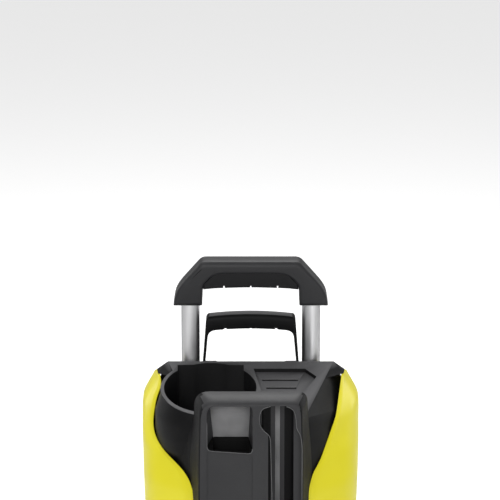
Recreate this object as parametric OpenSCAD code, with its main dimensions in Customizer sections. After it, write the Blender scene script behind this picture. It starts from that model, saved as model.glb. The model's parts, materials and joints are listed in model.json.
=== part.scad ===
// Upright domestic pressure washer with a telescoping handle, millimetres.
// +Z is up and -Y is the front. The origin is on the floor under the middle of the machine.

/* [Body] */
// Width over the two side shells
body_w = 308; // [290:1:380]
// Height of the ridge at the back of the top cover
body_h = 436; // [400:1:530]
// Slope of the top cover, falling towards the front
top_slope = 13; // [9:0.5:15]
// Wall of the black housings
wall = 3; // [2.5:0.1:4]
// Wall of the coloured side shells
shell_t = 3; // [2.5:0.1:3.6]

/* [Wheels and feet] */
// Wheel diameter over the tyre
wheel_d = 176; // [146:1:212]
// Wheel width
wheel_w = 40; // [32:1:48]
// Axle diameter
axle_d = 12; // [10:0.5:15]
// Height of the tray above the floor
ground_gap = 10; // [8:0.5:14]
// Diameter of the rubber front feet
foot_d = 30; // [24:1:36]

/* [Telescoping handle] */
// Outer diameter of the handle tubes
tube_d = 26; // [22:0.5:31.5]
// Wall of the handle tubes
tube_wall = 1.5; // [1.2:0.1:2]
// Distance between the two tubes, centre to centre
tube_pitch = 172; // [170:1:180]
// Gap all round a tube in its guide bush
tube_clear = 0.3; // [0.2:0.05:0.6]
// Height of the handle grip from its leg ends to its top
grip_h = 68; // [60:1:82]
// Depth of the handle grip, front to back
grip_d = 36; // [34:1:44]
// Bare tube between the rear housing and the grip with the handle pushed in
tube_shown = 95; // [70:1:120]

/* [Carrying handle] */
// Rise of the fixed carrying handle above the rear housing
carry_h = 78; // [68:1:84]
// Depth of its grip, front to back
carry_d = 26; // [22:1:31]

/* [Front column] */
// Width of the column's front face
column_w = 144; // [130:1:152]
// Inner diameter of the lance channel
channel_d = 50; // [42:1:54]
// Width of the spray gun pocket
pocket_w = 63; // [52:1:68]
// Height of the pocket's opening above its lip
pocket_open = 68; // [58:1:82]

/* [Detergent bay] */
// Inner diameter of the round bottle bay
bay_d = 130; // [110:1:136]
// Depth of the bay below the front of its rim
bay_depth = 74; // [62:1:90]
// Diameter of the socket that takes the bottle's neck
socket_d = 24; // [20:1:29]

/* [Motor and pump] */
// Outer diameter of the motor's stator
stator_d = 104; // [90:1:116]
// Height of the stator stack
stator_h = 70; // [60:1:82]
// Diameter of the motor shaft
shaft_d = 14; // [12:0.5:17]
// Diameter of each pump piston
piston_d = 14; // [12:0.5:16.5]
// Radius of the circle on which the three pistons stand
piston_circle = 23; // [20:1:27]
// Stroke of a piston
stroke = 6; // [5:0.5:7]
// Outer diameter of the pump's head and crankcase
pump_d = 108; // [90:1:120]

/* [Hidden] */
$fn = 48;
eps = 0.01;
half_w = body_w / 2;
kx = body_w / 308; // the shells' outlines keep their proportions when the body grows
kz = body_h / 436;
tan_top = tan(top_slope);

// Places along Y
ridge_y = 66; // the ridge, where the top cover meets the rear housing
tube_y = ridge_y + tube_d / 2 + 7; // the guide ducts stand just behind the ridge
rear_y = tube_y + tube_d / 2 + 9; // the rear housing's back face, clear of the ducts
axle_y = 118;
wheel_r = wheel_d / 2;
foot_front = -(axle_y + wheel_r); // the tray's front reaches as far forward as the wheels reach back
front_y = -84; // the housing's flat front, behind the column

// Places along Z
tray_z = ground_gap;
tray_h = 50;
tray_top = tray_z + tray_h;
chassis_top = 296 * kz;
rear_top = body_h - 14;
bay_rim_z = body_h - (ridge_y + 70) * tan_top;

// Wheels
wheel_out = half_w - 2; // outer face of a wheel
wheel_in = wheel_out - wheel_w;
rear_half = wheel_in - 4; // half width of the tray and the rear housing between the wheels
arch_r = wheel_r + 9;

// Handle
tube_x = tube_pitch / 2;
bush_h = 19;
bush_z = rear_top - bush_h;
duct_r = tube_d / 2 + 2; // bore of the guide duct below the bush
duct_wall = 2;
bush_neck_r = tube_d / 2 + 2.4;
plug_h = 20;
plug_clear = 0.3;
plug_z = tray_z + 9;
handle_travel = bush_z - plug_z - plug_h; // the plug stops against the bush
grip_z = rear_top + tube_shown;
grip_top = grip_z + grip_h;
grip_leg_w = 41;
grip_bar_h = 39;

// Motor and pump stack, from the tray up
pump_x = 0;
pump_y = -8;
mount_h = 14;
head_z = tray_z + 4 + mount_h;
head_h = 44;
case_z = head_z + head_h;
case_h = 66;
motor_z = case_z + case_h;
stator_z = motor_z + 14;
motor_wall = 4;
motor_h = stator_h + 34;
fan_z = motor_z + motor_h + 4;
fan_h = 16;
swash_tilt = asin(stroke / (2 * piston_circle));
swash_r = piston_circle + piston_d / 2 + 4;
swash_t = 10;
piston_top = case_z + 26; // every piston stands at its highest point
swash_z = piston_top + stroke / 2 + swash_t / 2 + 1.7;
piston_len = 44;

shell_yellow = [0.93, 0.87, 0.13];
black = [0.13, 0.13, 0.14];
dark_grey = [0.23, 0.23, 0.24];
steel = [0.7, 0.7, 0.72];
rubber_black = [0.06, 0.06, 0.06];

// ---------------------------------------------------------------- helpers

function lerp(a, b, t) = a + (b - a) * t;
function bez(a, b, c, t) = (1 - t) * (1 - t) * a + 2 * t * (1 - t) * b + t * t * c;
function unit2(v) = v / max(norm(v), 1e-9);

// A polygon with each corner rounded: cuts[i] is how far the rounding reaches along both edges.
function soft_poly(pts, cuts, n = 6) = [
    for (i = [0:len(pts) - 1])
        let (p = pts[i], a = pts[(i + len(pts) - 1) % len(pts)], b = pts[(i + 1) % len(pts)],
            c = min(cuts[i], norm(a - p) * 0.49, norm(b - p) * 0.49))
        for (k = [0:(c > 0 ? n : 0)])
            c > 0 ? bez(p + unit2(a - p) * c, p, p + unit2(b - p) * c, k / n) : p
];

// Points on the right and their mirror images, as one closed outline.
function both_sides(right) = concat(right, [for (i = [len(right) - 1:-1:0]) [-right[i][0], right[i][1]]]);
function repeat_back(list) = concat(list, [for (i = [len(list) - 1:-1:0]) list[i]]);

module plan(outline, z0, z1) translate([0, 0, z0]) linear_extrude(z1 - z0) polygon(outline);
// An outline drawn in X and Z, made solid from y0 to y1.
module front_view(outline, y0, y1) translate([0, y1, 0]) rotate([90, 0, 0]) linear_extrude(y1 - y0) polygon(outline);
// An outline drawn in Y and Z, made solid from x0 to x1.
module side_view(outline, x0, x1) translate([x0, 0, 0]) rotate([90, 0, 90]) linear_extrude(x1 - x0) polygon(outline);
module box(lo, hi) translate(lo) cube(hi - lo);
module tube(r_out, r_in, h) difference() {
    cylinder(r = r_out, h = h);
    translate([0, 0, -1]) cylinder(r = r_in, h = h + 2);
}
module along_y() rotate([-90, 0, 0]) children();
module along_x() rotate([0, 90, 0]) children();
module at_both(x) for (side = [-1, 1]) translate([side * x, 0, 0]) children();
module at_pump(z) translate([pump_x, pump_y, z]) children();

// ---------------------------------------------------------------- side shells

// Where the shell's front edge runs, seen from the front, at each height.
right_seam_x = [[60, 89], [150, 85], [232, 82], [297, 81], [321, 88], [336, 99], [383, 122], [424, 132]];
right_seam_y = [[60, -139], [150, -117], [232, -105], [297, -99], [321, -87], [336, -72], [383, -22], [424, 45]];
left_seam_x = [[60, 89], [150, 85], [232, 82], [285, 80], [297, 82], [310, 86], [320, 93], [329, 104],
    [336, 118], [344, 129], [354, 137], [366, 140], [380, 139], [396, 136], [410, 130], [416, 129], [424, 132]];
side_x = [[60, 146], [150, 147], [232, 149], [336, 153], [383, 154], [392, 153], [424, 134]];
side_front_y = [[60, -60], [150, -54], [232, -46], [297, -38], [336, -16], [383, 28], [424, 62]];
side_rear_y = [[60, 76], [336, 80], [383, 82], [424, 84]];
back_x = [[60, 134], [336, 136], [383, 137], [424, 129]];
back_y = rear_y - 1;

function seam_point(z, left) =
    let (b = [lookup(z, right_seam_x), lookup(z, right_seam_y)],
        c = [lookup(z, side_x), lookup(z, side_front_y)],
        x = left ? lookup(z, left_seam_x) : b[0])
    b + (c - b) * (x - b[0]) / (c[0] - b[0]);

// The shell's plan outline at one height of the standard body, from the seam round to the back.
function shell_outline(z, left, n = 5) =
    let (b = seam_point(z, left),
        c = [lookup(z, side_x), lookup(z, side_front_y)],
        d = [lookup(z, side_x), lookup(z, side_rear_y)],
        e = [lookup(z, back_x), back_y],
        cut = min(34, norm(c - b) * 0.6, norm(d - c) * 0.48),
        c1 = c + unit2(b - c) * cut, c2 = c + unit2(d - c) * cut,
        d1 = d + unit2(c - d) * min(14, norm(d - c) * 0.3), d2 = d + unit2(e - d) * 10)
    concat([for (k = [0:2]) lerp(b, c1, k / 3)],
        [for (k = [0:n]) bez(c1, c, c2, k / n)],
        [for (k = [1:2]) lerp(c2, d1, k / 3)],
        [for (k = [0:3]) bez(d1, d, d2, k / 3)],
        [e]);

shell_top = 424;
shell_fall = 0.35; // the top edge slopes down behind the ridge
shell_bottom = 62;
shell_rows = 26;
// The bottom edge rises over the wheel.
function arch_z(y) = y > axle_y - arch_r && abs(y - axle_y) < arch_r
    ? max(tray_top + 2, axle_z() + sqrt(arch_r * arch_r - (y - axle_y) * (y - axle_y))) : tray_top + 2;
function axle_z() = wheel_r;

// One point of the outer surface: row counts up from the bottom edge, column back from the seam.
function shell_point(row, col, left) =
    let (foot = shell_outline(shell_bottom + 90, left)[col],
        low = arch_z(foot[1]) / kz,
        high = shell_top - max(0, shell_outline(shell_top, left)[col][1] - ridge_y) * shell_fall,
        z = lerp(low, high, row / shell_rows),
        p = shell_outline(z, left)[col])
    [p[0] * kx, p[1], z * kz];

module side_shell(left) {
    cols = len(shell_outline(200, left));
    rows = shell_rows + 1;
    outer = [for (r = [0:rows - 1]) [for (c = [0:cols - 1]) shell_point(r, c, left)]];
    inner = [for (r = [0:rows - 1]) [for (c = [0:cols - 1])
        let (a = outer[r][max(c - 1, 0)], b = outer[r][min(c + 1, cols - 1)],
            t = unit2([b[0] - a[0], b[1] - a[1]]))
        [outer[r][c][0] - t[1] * shell_t, outer[r][c][1] + t[0] * shell_t, outer[r][c][2]]]];
    pts = concat([for (row = outer) each row], [for (row = inner) each row]);
    n = rows * cols;
    sheet = [for (r = [0:rows - 2]) for (c = [0:cols - 2]) let (i = r * cols + c)
        each [[i, i + cols, i + cols + 1], [i, i + cols + 1, i + 1]]];
    back = [for (f = sheet) [f[2] + n, f[1] + n, f[0] + n]];
    rim = concat([for (c = [0:cols - 1]) c],
        [for (r = [1:rows - 1]) r * cols + cols - 1],
        [for (c = [cols - 2:-1:0]) (rows - 1) * cols + c],
        [for (r = [rows - 2:-1:1]) r * cols]);
    edge = [for (k = [0:len(rim) - 1]) let (i = rim[k], j = rim[(k + 1) % len(rim)])
        each [[i, j, j + n], [i, j + n, i + n]]];
    color(shell_yellow) mirror([left ? 1 : 0, 0, 0])
        polyhedron(points = pts, faces = concat(sheet, back, edge));
}

// ---------------------------------------------------------------- black housings

// Corner points of the upper housing's right half, inset from the shells above it.
function housing_corners(i) = [
    [118 * kx - i, ridge_y, body_h - i], [81 * kx - i, -32, body_h - (ridge_y + 32) * tan_top - i],
    [74 * kx - i, front_y + i, body_h - (ridge_y - front_y) * tan_top - i],
    [80 * kx - i, front_y + i, 383 * kz - i], [91 * kx - i, -61 + i, 383 * kz],
    [113 * kx - i, -14 + i / 2, 383 * kz], [146 * kx - i, 37, 380 * kz], [146 * kx - i, ridge_y, 380 * kz],
    [80 * kx - i, front_y + i, 336 * kz], [91 * kx - i, -67 + i, 336 * kz], [139 * kx - i, i / 2, 336 * kz],
    [80 * kx - i, front_y + i, chassis_top], [87 * kx - i, front_y + i, chassis_top],
    [136 * kx - i, -18 + i / 2, chassis_top], [142 * kx - i, ridge_y, chassis_top]];

module speck(p) translate(p) cube(eps, center = true);
module housing_solid(i) hull() for (p = housing_corners(i)) {
    speck(p);
    speck([-p[0], p[1], p[2]]);
}

// The corners that lie over the shells' top edges.
module top_corners() for (side = [-1, 1]) hull()
    for (p = [[100, ridge_y, 436], [118, ridge_y, 436], [133.6, ridge_y, 424.7], [133.6, 62, 424.7], [131.8, 46, 424.7],
        [104, 20, 424.7], [104, 20, 425.4], [100, ridge_y, 424.7]])
        speck([side * p[0] * kx, p[1], p[2] * kz]);

// Everything under the sloping top face.
module under_top(lift = 0) side_view([
    [ridge_y, 0], [ridge_y, body_h + lift], [-200, body_h + lift - (ridge_y + 200) * tan_top], [-200, 0]], -300, 300);

bay_x = -57 * kx;
bay_y = -4;
bay_r = bay_d / 2;
bay_floor = bay_rim_z - bay_depth;
bay_rim_w = 5;
bay_back_y = ridge_y - 10;
bay_back_half = 47;
// The barrel round the bay swells below its rim and narrows again under the shell.
module bay_barrel() rotate_extrude() polygon([
    [0, bay_floor - wall], [bay_r + 4.2, bay_floor - wall], [bay_r + 10, bay_floor + 12],
    [bay_r + 12.6, bay_floor + 33], [bay_r + 12.5, bay_rim_z - 16], [bay_r + bay_rim_w, bay_rim_z + 8],
    [bay_r + bay_rim_w, body_h + 5], [0, body_h + 5]]);

recess = [[4, 46], [77, 46], [93, 25], [72, -22], [62, -50], [22, -50]];
recess_depth = 5;
module recess_area(grow) translate([0, 0, chassis_top]) linear_extrude(200) offset(delta = grow)
    polygon([for (p = recess) [p[0] * kx, p[1]]]);

module upper_housing() color(black) difference() {
    intersection() {
        union() {
            top_corners();
            difference() {
                housing_solid(0);
                housing_solid(wall);
                box([-200, -200, chassis_top - 1], [200, ridge_y + 1, chassis_top + 0.5]);
            }
            translate([bay_x, bay_y, 0]) bay_barrel();
            box([bay_x - bay_back_half - wall, bay_y, bay_floor - wall],
                [bay_x + bay_back_half + wall, bay_back_y + wall, body_h + 5]);
            intersection() {
                housing_solid(0);
                recess_area(wall);
                difference() {
                    under_top();
                    under_top(-recess_depth - wall);
                }
            }
        }
        under_top();
    }
    translate([bay_x, bay_y, bay_floor]) cylinder(r = bay_r, h = 200);
    box([bay_x - bay_back_half, bay_y, bay_floor], [bay_x + bay_back_half, bay_back_y, body_h + 10]);
    // The socket stands in a hole in the bay's floor.
    translate([bay_x, bay_y, bay_floor - 10]) cylinder(r = socket_hole_r, h = 20);
    // The tray recess, which leaves three ribs.
    difference() {
        recess_area(0);
        under_top(-recess_depth);
        for (rib = ribs) intersection() {
            under_top(-recess_depth + 2);
            box([rib[0] * kx, rib[2] - 1.3, 0], [rib[1] * kx, rib[2] + 1.3, 600]);
        }
    }
    // The lance channel reaches back through the housing's front.
    channel_hull(channel_d / 2 + wall + 1.5, chassis_top - 5, 600);
}
ribs = [[16, 67, 24], [22, 64, 3], [28, 60, -18]];
socket_hole_r = socket_d / 2 + 6.4;

module inner_chassis() {
    half = 76 * kx;
    back = ridge_y - 4;
    color(black) difference() {
        union() {
            difference() {
                box([-half, front_y + 4, tray_z + 4.2], [half, back, chassis_top]);
                box([-half + wall, front_y + 4 + wall, 0], [half - wall, back - wall, 600]);
            }
            // Four posts a side hold the side shells off the walls.
            for (side = [-1, 1]) for (z = post_z) for (y = post_y)
                translate([side * (half - 1), y, z]) rotate([0, side * 90, 0])
                    cylinder(r = 6, h = lookup(z / kz, side_x) * kx - shell_t - 5 - half);
            // Flanges close the slots beside the column.
            for (side = [-1, 1]) box([min(side * half, side * 94 * kx), front_y + 4, tray_top + 1],
                [max(side * half, side * 94 * kx), front_y + 4 + wall, chassis_top]);
            // The shelf that carries the upper housing and stiffens the shells.
            intersection() {
                translate([0, 0, chassis_top - wall]) linear_extrude(wall) offset(delta = -shell_t - 0.6)
                    polygon(both_sides([for (p = shell_outline(297, false)) [p[0] * kx, p[1]]]));
                box([-200, front_y + 4, 0], [200, ridge_y - 1, 600]);
            }
        }
        box([-half + wall, front_y + 4 + wall, 200], [half - wall, back - wall, 600]);
        // Openings lighten the sides and let the cooling air through.
        box([-half - 1, -48, 96], [half + 1, 34, chassis_top - 72]);
        box([-46, front_y, 32], [46, front_y + 20, chassis_top - 60]);
        box([-50, back - 10, 32], [50, back + 1, chassis_top - 50]);
        // The lance channel stands in the front corner.
        channel_hull(channel_d / 2 + wall + 1.5, 150, chassis_top + 1);
    }
}
post_z = [82, 262 * kz];
post_y = [-16, 8];

module rear_housing() {
    silhouette = both_sides([[rear_half, tray_top + 0.3], [rear_half, axle_z() + arch_r + 8],
        [128 * kx, axle_z() + arch_r + 22], [129 * kx, 380 * kz], [124 * kx, rear_top - 8], [114 * kx, rear_top]]);
    color(black) difference() {
        union() {
            difference() {
                front_view(silhouette, ridge_y + 0.3, rear_y);
                difference() {
                    front_view([for (p = silhouette) [p[0] - sign(p[0]) * wall, p[1] < 100 ? p[1] - 1 : p[1] - wall]],
                        ridge_y, rear_y - wall);
                    // Solid posts take the cable hooks and the inlet.
                    translate([0, rear_y, hook_z]) along_y() cylinder(r = 15, h = 40, center = true);
                }
            }
        }
        // The guide bushes' necks come through the top.
        at_both(tube_x) translate([0, tube_y, rear_top - 10]) cylinder(r = bush_neck_r + 0.1, h = 20);
        // Pivot of the upper cable hook.
        translate([0, rear_y, hook_z]) along_y() cylinder(r = hook_pin_r + 0.1, h = 24, center = true);
        // Ventilation louvres.
        for (k = [0:8]) for (side = [-1, 1])
            box([side * 50 - 34, rear_y - 10, 214 + k * 13], [side * 50 + 34, rear_y + 1, 219 + k * 13]);
        translate([gland_x, rear_y, gland_z]) along_y() cylinder(r = 9.2, h = 20, center = true);
        translate([inlet_x, rear_y, inlet_z]) along_y() cylinder(r = 17.4, h = 20, center = true);
        at_both(carry_foot_x) translate([0, tube_y, rear_top]) cylinder(r = 2, h = 20, center = true);
    }
}
hook_z = 372 * kz;
hook_pin_r = 6;
gland_x = -52;
gland_z = 148;
inlet_x = 44;
inlet_z = 148;

module wheel_liner() difference() {
    intersection() {
        translate([rear_half - wall - 0.5, axle_y, axle_z()]) along_x() cylinder(r = arch_r + 1, h = 132 * kx - rear_half + wall);
        box([0, 10, tray_top - 6], [200, ridge_y, 400]);
    }
    translate([rear_half - 0.5, axle_y, axle_z()]) along_x() cylinder(r = arch_r - 1.6, h = 300);
}

// ---------------------------------------------------------------- base

base_right = [[92, foot_front], [118, foot_front + 22], [140 * kx, -96], [140 * kx, -2],
    [rear_half, 22], [rear_half, rear_y]];
base_cuts = [12, 16, 28, 12, 6, 8];
module base_tray() color(black) difference() {
    union() {
        difference() {
            intersection() {
                plan(soft_poly(both_sides(base_right), repeat_back(base_cuts)), tray_z, tray_top);
                // The front of the tray is a low toe board.
                side_view([[foot_front - 5, 0], [foot_front - 5, tray_z + 13], [-176, tray_z + 24], [-162, tray_top + 5],
                    [200, tray_top + 5], [200, 0]], -200, 200);
            }
            intersection() {
                plan(soft_poly(both_sides(base_inner), repeat_back(base_cuts)), tray_z + 4, tray_top + 20);
                side_view([[foot_front - 5, 0], [foot_front - 5, tray_z + 9], [-174, tray_z + 20], [-157, tray_top + 12],
                    [210, tray_top + 12], [210, 0]], -210, 210);
            }
        }
        // Liners close the wheel arches.
        wheel_liner();
        mirror([1, 0, 0]) wheel_liner();
        // The axle beam, behind the rear housing.
        side_view([[rear_y - 3, tray_z + 0.5], [axle_y + 7, tray_z + 0.5], [axle_y + axle_d / 2 + 8, tray_z + 10],
            [axle_y + axle_d / 2 + 8, axle_z() + 6], [axle_y + 5, axle_z() + axle_d / 2 + 8],
            [rear_y + 0.3, axle_z() + axle_d / 2 + 8], [rear_y + 0.3, tray_top - 0.5], [rear_y - 3, tray_top - 0.5]],
            -rear_half + 0.5, rear_half - 0.5);
        // A cup for the capacitor.
        translate([cap_x, cap_y, tray_z + 1]) cylinder(r = 20, h = 16);
        // Sockets for the pump's rubber mounts.
        for (a = mount_angles) at_pump(tray_z + 1) translate([mount_r * cos(a), mount_r * sin(a), 0]) cylinder(r = 12, h = 6);
    }
    translate([0, axle_y, axle_z()]) along_x() cylinder(r = axle_d / 2 + 0.05, h = 400, center = true);
    // Pockets that lighten the beam from below.
    for (x = [-72, -24, 24, 72]) box([x - 18, rear_y + 4, 0], [x + 18, rear_y + 19, axle_z() - axle_d / 2 - 6]);
    translate([cap_x, cap_y, tray_z + 4.05]) cylinder(r = 16.6, h = 40);
    for (a = mount_angles) at_pump(tray_z + 3) translate([mount_r * cos(a), mount_r * sin(a), 0]) cylinder(r = 9, h = 20);
    at_both(foot_x) translate([0, foot_y, tray_z - 1]) cylinder(r = foot_stem_r, h = 20);
    // Air intake slots.
    for (k = [-3:3]) box([k * 14 - 3, -148, 0], [k * 14 + 3, -112, 40]);
}
base_inner = [[90, foot_front + 4], [115, foot_front + 24], [140 * kx - 4, -95], [140 * kx - 4, -4],
    [rear_half - 4, 20], [rear_half - 4, rear_y - 4]];
cap_x = 106 * kx;
cap_y = -40;
mount_r = 40;
mount_angles = [45, 135, 225, 315];
foot_x = 82;
foot_y = foot_front + 30;
foot_stem_r = 5;
module front_feet() color(rubber_black) at_both(foot_x) translate([0, foot_y, 0]) {
    cylinder(r1 = foot_d / 2 - 2, r2 = foot_d / 2, h = ground_gap);
    cylinder(r = foot_stem_r, h = ground_gap + 9);
}

// ---------------------------------------------------------------- front column

column_lean = 0.0813; // how far the face comes forward for each millimetre down
column_back = front_y - 0.3;
column_foot = 150;
column_z1 = body_h - 3; // where the face turns over into the top
column_top = body_h + 5;
column_half = column_w / 2;
function column_face(z) = -113 - (column_z1 - z) * column_lean;
lance_x = column_half - channel_d / 2 - 10;
channel_inset = channel_d / 2 - 4; // the channel's axis lies this far behind the face

// A cylinder that leans with the column's face, between two heights.
module channel_hull(r, z0, z1) intersection() {
    translate([lance_x, column_face(0) + channel_inset, 0]) rotate([-atan(column_lean), 0, 0])
        translate([0, 0, -50]) cylinder(r = r, h = 700);
    box([-300, -300, z0], [300, 300, z1]);
}
column_side = 85 * kx; // at its foot the column meets the side shells
module column_solid(i) hull() {
    plan(both_sides([[column_half - i, column_face(column_foot) + i], [column_side - i, column_back]]), column_foot + i, column_foot + i + eps);
    plan(both_sides([[column_half - i, column_face(column_z1) + i], [column_half + 8 - i, column_back]]), column_z1 - i, column_z1 - i + eps);
    plan(both_sides([[column_half - i - 1, -91 + i / 2], [column_half + 6 - i, column_back]]), column_top - i, column_top - i + eps);
}
pocket_x0 = -column_half + 11.5;
pocket_x1 = pocket_x0 + pocket_w;
pocket_lip = column_z1 - pocket_open - 2;
pocket_back = column_back - 4;
module front_column() color(dark_grey) difference() {
    intersection() {
        union() {
            difference() {
                column_solid(0);
                column_solid(wall);
                box([-200, column_back - wall - 2, column_foot + wall], [200, column_back + 1, column_z1 - 12]);
            }
            // The pocket's walls and floor, then the channel's.
            intersection() {
                column_solid(0);
                box([pocket_x0 - wall, -200, pocket_lip - 64], [pocket_x1 + wall, pocket_back + 3, column_z1]);
            }
            // The ledge beside the channel.
            intersection() {
                column_solid(0);
                side_view([[column_face(pocket_lip) + 7, pocket_lip + 8], [column_face(pocket_lip) + 11, pocket_lip + 8],
                    [column_face(column_foot) + 13, column_foot + 10], [column_face(column_foot) + 9, column_foot + 10]],
                    lance_x, 200);
            }
            channel_hull(channel_d / 2 + wall, column_foot + 12, column_z1 - 2);
        }
        front_view(soft_poly([[-150, column_foot - 1], [150, column_foot - 1], [column_side, column_z1 - 90],
            [column_half + 1, column_top], [-column_half - 1, column_top], [-column_side, column_z1 - 90]],
            [0, 0, 20, 17, 17, 20]), -300, 0);
        box([-200, -200, column_foot], [200, 0, column_top]);
    }
    // The gun pocket, open at the front above its lip.
    box([pocket_x0, column_face(pocket_lip) + wall + 2.5, pocket_lip - 60], [pocket_x1, pocket_back, column_z1 - 4]);
    front_view(soft_poly([[pocket_x0, pocket_lip + 3], [pocket_x1, pocket_lip - 1], [pocket_x1, column_z1 - 4],
        [pocket_x0, column_z1 - 4]], [6, 6, 4, 8]), -200, -100);
    // The panel below the lip lies a little behind the frame.
    intersection() {
        box([pocket_x0, -200, column_foot + 12], [pocket_x1, -90, column_z1 - 4]);
        difference() {
            box([-200, -200, 0], [200, 0, 600]);
            translate([0, 1.6, 0]) column_solid(0);
        }
    }
    // The lance channel: a full bore, open at the front, wider at the top than below.
    channel_hull(channel_d / 2, column_foot + 16, column_z1 - 4);
    box([lance_x - channel_d / 2 + 0.5, -200, pocket_lip + 10], [lance_x + channel_d / 2 - 0.5, column_face(pocket_lip) + 8, column_z1 - 4]);
    box([lance_x - 8, -200, column_foot + 16], [lance_x + channel_d / 2 + 0.5, column_face(pocket_lip) + 4, pocket_lip + 11]);
    side_view([[column_face(pocket_lip) - 20, pocket_lip + 2], [column_face(pocket_lip) + 8, pocket_lip + 2],
        [column_face(column_foot) + 10, column_foot + 16], [column_face(column_foot) - 20, column_foot + 16]],
        lance_x + channel_d / 2, 200);
    // A drain under the channel.
    translate([lance_x, column_face(column_foot) + channel_inset, column_foot - 5]) cylinder(r = 5, h = 40);
}

panel_z0 = tray_top + 0.3;
panel_z1 = column_foot - 0.3;
panel_half0 = 88;
knob_x = 40;
knob_z = 104;
outlet_x = -42;
outlet_z = 100;
function panel_face(z) = column_face(column_foot) - 2 - (column_foot - z) * 0.24;
module panel_solid(i) hull() {
    plan(both_sides([[78 - i, panel_face(panel_z1) + i], [84 - i, front_y]]), panel_z1 - eps, panel_z1);
    plan(both_sides([[80 - i, panel_face(panel_z0) + i], [86 - i, front_y]]), panel_z0, panel_z0 + eps);
}
module lower_front_panel() color(black) difference() {
    union() {
        difference() {
            panel_solid(0);
            translate([0, wall, 0]) panel_solid(0.01);
            box([-85 + wall, front_y - 4, 0], [85 - wall, 0, 300]);
        }
        intersection() {
            panel_solid(0);
            union() {
                for (side = [-1, 1]) box([side * 82 - 4, -200, 0], [side * 82 + 4, front_y, 300]);
                translate([knob_x, panel_face(knob_z), knob_z]) along_y() cylinder(r = 34, h = 16, center = true);
                translate([outlet_x, panel_face(outlet_z), outlet_z]) along_y() cylinder(r = 26, h = 16, center = true);
            }
        }
    }
    // The knob's dished seat and its shaft hole.
    translate([knob_x, panel_face(knob_z) + 3, knob_z]) rotate([90, 0, 0]) cylinder(r = 30, h = 40);
    translate([knob_x, panel_face(knob_z), knob_z]) along_y() cylinder(r = 6.4, h = 60, center = true);
    translate([outlet_x, panel_face(outlet_z), outlet_z]) along_y() cylinder(r = 17.3, h = 60, center = true);
    box([outlet_x - 7.3, -200, outlet_z + 19], [outlet_x + 7.3, front_y - 2, outlet_z + 31.3]);
}
// ---------------------------------------------------------------- handles

grip_half = tube_x + 24;
grip_in = grip_half - grip_leg_w;
grip_flat = 68;
module grip_outline(top, leg) front_view(soft_poly(concat(
    [[grip_in, grip_z], [grip_half - 1, grip_z], [grip_half, grip_z + 4], [grip_half - 4, grip_z + 20], [grip_half - 10, grip_z + 31],
        [grip_flat + 1, grip_top], [-grip_flat - 1, grip_top], [-grip_half + 10, grip_z + 31], [-grip_half + 4, grip_z + 20],
        [-grip_half, grip_z + 4], [-grip_half + 1, grip_z], [-grip_in, grip_z]],
    [[-grip_in + 1, grip_top - leg], [grip_in - 1, grip_top - leg]]),
    [1, 1.6, 2.2, 5.5, 5.5, 6, 6, 5.5, 5.5, 2.2, 1.6, 1, 12, 12], 4), tube_y - grip_d / 2 - 5, tube_y + grip_d / 2 + 5);
module grip_section() side_view([for (p = soft_poly([[-0.5, 0], [0.5, 0], [0.5, 1], [-0.5, 1]], [0.14, 0.14, 0.3, 0.3], 5))
    [tube_y + p[0] * grip_d, grip_z - 0.01 + p[1] * (grip_h + 0.02)]], -200, 200);
module handle_grip() color(dark_grey) difference() {
    intersection() {
        grip_outline(grip_top, grip_bar_h - 8);
        grip_section();
    }
    at_both(tube_x) translate([0, tube_y, grip_z - 1]) cylinder(r = tube_d / 2 + 0.05, h = tube_in_grip + 1);
    at_both(tube_x) translate([0, tube_y, grip_z + 14]) along_y() cylinder(r = 2.1, h = grip_d + 4, center = true);
    at_both(tube_x) translate([0, tube_y + grip_d / 2 - 2.35, grip_z + 14]) along_y() cylinder(r = 3.8, h = 10);
}
tube_in_grip = 26;
// The soft insert under the bar, with four finger rests.
insert_h = 8;
module handle_grip_insert() color(rubber_black) {
    z1 = grip_top - grip_bar_h + insert_h;
    difference() {
        intersection() {
            box([-200, 0, z1 - insert_h], [200, 300, z1 + 1]);
            front_view(soft_poly([[grip_in - 0.3, grip_z], [grip_in - 1.3, z1], [-grip_in + 1.3, z1], [-grip_in + 0.3, grip_z]],
                [0, 12, 12, 0], 4), tube_y - grip_d / 2 + 3, tube_y + grip_d / 2 - 3);
        }
        for (x = [-38, 0, 38]) translate([x, 0, z1 - insert_h - 1]) rotate([90, 0, 0]) cylinder(r = 2.2, h = 300, center = true);
    }
}
plug_floor = 2;
tube_z = plug_z + plug_floor + 0.05;
module handle_tube(side) color(steel) translate([side * tube_x, tube_y, tube_z]) difference() {
    tube(tube_d / 2, tube_d / 2 - tube_wall, grip_z + tube_in_grip - 0.2 - tube_z);
    translate([0, 0, grip_z + 14 - tube_z]) along_y() cylinder(r = 2.1, h = 60, center = true);
    // Detent holes for the three handle heights.
    for (d = detents) translate([0, -tube_d / 2, catch_z - tube_z - d]) rotate([90, 0, 0]) cylinder(r = 3, h = 8, center = true);
}
catch_z = bush_z - 16;
detents = [0, 111, handle_travel - 14];
module handle_end_plugs() color(rubber_black) at_both(tube_x) translate([0, tube_y, plug_z]) difference() {
    union() {
        difference() {
            cylinder(r = duct_r - plug_clear, h = plug_h);
            translate([0, 0, plug_floor]) cylinder(r = tube_d / 2 + 0.05, h = 100);
        }
        translate([0, 0, 0]) cylinder(r = tube_d / 2 - tube_wall - 0.1, h = plug_h - 4);
    }
    translate([0, 0, -1]) cylinder(r = 6, h = 100);
    // A groove lets the plug pass the detent spring's dimple.
    translate([-4.4, -duct_r - 2, -1]) cube([8.8, duct_r + 2 - tube_d / 2 - 0.4, 100]);
}
module guide_ducts() color(black) at_both(tube_x) translate([0, tube_y, tray_z + 4.2]) difference() {
    tube(duct_r + duct_wall, duct_r, bush_z - tray_z - 4.4);
    translate([-6, -30, bush_z - tray_z - 4.4 - 34]) cube([12, 30, 33]);
}
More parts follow.
